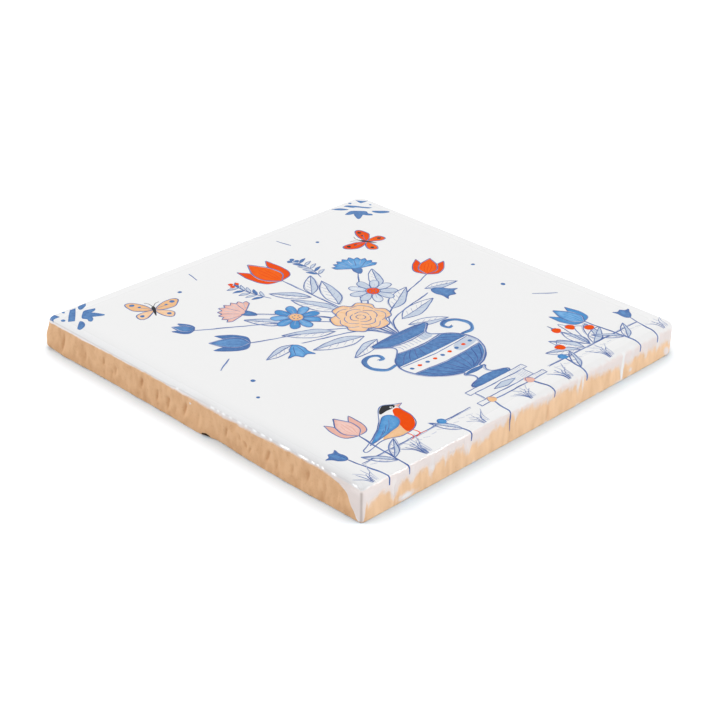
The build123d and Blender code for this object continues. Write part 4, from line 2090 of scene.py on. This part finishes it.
@dataclass(frozen=True)
class Studio:
    """Floor, light and camera for a tile seen from its lower left corner; its lengths are in mm."""

    azimuth: float = -45.365
    elevation: float = 28.379
    roll: float = 0.6076
    distance: float = 389.0
    aside: float = -0.185
    above: float = -8.933
    lens: float = 86.90
    sensor: float = 36.0
    nearest: float = 10.0

    floor_side: float = 6000.0
    floor_colour: Colour = (0.81, 0.86, 0.9)
    floor_lift: float = 0.48
    shadow_colour: Colour = (0.74, 0.845, 0.935)
    shadow_reach: float = 12.0
    # Dark colour painted as the contact shadow at the tile's foot
    contact_shadow_colour: Colour = (0.3, 0.31, 0.33)
    # Shares of open sky where the floor is darkest and where it is clear, left and right of the tile,
    # and close to its foot
    sky_samples: int = 8
    darkest: Span = (0.48, 0.56)
    clear: Span = (0.86, 0.885)
    contact_shadow: Span = (0.02, 0.16)
    half_change: float = 10.0

    # The tent's light overhead, how much more its sides give, and how high up they start and end
    tent_top: float = 0.80
    tent_sides: float = 0.76
    tent_rise: Span = (0.65, 0.1)
    lamps: tuple[Lamp, ...] = (
        Lamp("softbox_right", LampKind.SOFTBOX, 50, 25, 0.6),
        Lamp("softbox_left", LampKind.SOFTBOX, -142, 25, 0.8),
        Lamp("glint_right", LampKind.GLINT, 52, 35, 2.4),
        Lamp("glint_left", LampKind.GLINT, 176, 52, 2.4),
    )
    lamp_side: float = 300.0
    lamp_distance: float = 900.0

    def camera(self, thickness: float) -> None:
        """Sets up the camera.

        Args:
            thickness: Height of the tile's face above the floor.
        """
        back = outward(self.azimuth, self.elevation)
        level = Vector((0, 0, 1)).cross(back).normalized()
        upright = back.cross(level)
        roll = radians(self.roll)
        right = cos(roll) * level + sin(roll) * upright
        up = cos(roll) * upright - sin(roll) * level
        place = Vector((0, 0, thickness)) + right * self.aside + up * self.above + back * self.distance
        bpy.ops.object.camera_add()
        camera = bpy.context.active_object
        camera.name = "photo_camera"
        axes = Matrix((right, up, back)).transposed().to_4x4()
        camera.matrix_world = Matrix.Translation(place * MM) @ axes
        camera.data.sensor_width = self.sensor
        camera.data.lens = self.lens
        camera.data.clip_start = self.nearest * MM
        bpy.context.scene.camera = camera

    def floor(self) -> None:
        """Lays a white floor that keeps the tile's soft shadow, deepened by painted shadow where little open
        sky reaches it.
        """
        bpy.ops.object.select_all(action="DESELECT")
        bpy.ops.mesh.primitive_plane_add(size=self.floor_side * MM, location=(0, 0, 0))
        floor = bpy.context.active_object
        floor.name = "floor"
        nodes = FinishNodes("white_floor")
        reach = {"Distance": self.shadow_reach * MM}
        sky = nodes.node("ShaderNodeAmbientOcclusion", {"samples": self.sky_samples}, reach)
        sky = Value(nodes.tree, sky.outputs["AO"])
        across, along, _ = nodes.axes(nodes.place())
        change = (-self.half_change * MM, self.half_change * MM)
        span = {
            "Value": sky,
            "From Min": nodes.step(across - along, *change, *self.darkest),
            "From Max": nodes.step(across - along, *change, *self.clear),
        }
        open_sky = Value(nodes.tree, nodes.node("ShaderNodeMapRange", sockets=span).outputs["Result"])
        # Painted shadow: where little open sky reaches the floor its colour turns darker and bluish, dark at
        # the tile's foot, and its glow fades
        white = nodes.blend(open_sky, self.shadow_colour, self.floor_colour)
        white = nodes.blend(nodes.step(sky, *self.contact_shadow), self.contact_shadow_colour, white)
        lift = open_sky * nodes.backdrop_rays() * self.floor_lift
        matt = nodes.node("ShaderNodeBsdfDiffuse", sockets={"Color": white})
        glow = nodes.node("ShaderNodeEmission", sockets={"Color": lift})
        both = nodes.node("ShaderNodeAddShader", sockets={0: matt.outputs[0], 1: glow.outputs[0]})
        nodes.feed(nodes.output.inputs["Surface"], both.outputs[0])
        nodes.tree.nodes.remove(nodes.surface)
        floor.data.materials.append(nodes.material)

    def lights(self) -> None:
        """Sets up a white tent, two softboxes and two lamps that only glint in the glaze."""
        scene = bpy.context.scene
        scene.world = scene.world or bpy.data.worlds.new("white_tent")
        scene.world.use_nodes = True
        nodes = Nodes(scene.world.node_tree)
        seen = nodes.backdrop_rays()
        *_, upward = nodes.axes(nodes.node("ShaderNodeTexCoord").outputs["Generated"])
        light = self.tent_top + nodes.step(upward, *self.tent_rise) * self.tent_sides
        tent = nodes.node("ShaderNodeBackground", sockets={"Color": light * (1 - seen) + seen})
        nodes.node("ShaderNodeOutputWorld", sockets={"Surface": tent.outputs[0]})
        for lamp in self.lamps:
            self._hang(lamp)

    def _hang(self, lamp: Lamp) -> None:
        """Adds a lamp.

        Args:
            lamp: What it is and where it stands.
        """
        way = outward(lamp.turn, lamp.lift)
        bpy.ops.object.light_add(type="AREA", location=way * self.lamp_distance * MM)
        light = bpy.context.active_object
        light.name = lamp.name
        light.data.energy = lamp.power
        light.data.size = self.lamp_side * MM
        light.rotation_euler = way.to_track_quat("Z", "Y").to_euler()
        light.visible_glossy = lamp.kind is LampKind.GLINT
        light.visible_diffuse = lamp.kind is LampKind.SOFTBOX


def main() -> None:
    """Builds the tile, paints it and sets up the studio."""
    logging.basicConfig(level=logging.INFO, format="%(name)s: %(message)s")
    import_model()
    low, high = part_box("tile")
    width, height, thickness = (high - low) / MM
    body = TileBody(round(width, 3), round(height, 3), round(thickness, 3))
    tile = body.build()
    tile.data.materials.clear()
    tile.data.materials.append(TileFinish(Glaze(), Biscuit(), body.width / 2).make())
    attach(tile, "root")
    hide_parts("tile")
    log.info("%s: %d faces", tile.name, len(tile.data.polygons))
    painting = Painting(tile, body.height / 2, body.thickness)
    FlowerPiece(painting).paint()
    for piece in painting.build(Glaze()):
        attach(piece, "root")
        log.info("%s: %d faces", piece.name, len(piece.data.polygons))
    studio = Studio()
    studio.camera(body.thickness)
    studio.floor()
    studio.lights()
    bpy.context.scene.view_settings.view_transform = "Standard"


if __name__ == "__main__":
    main()
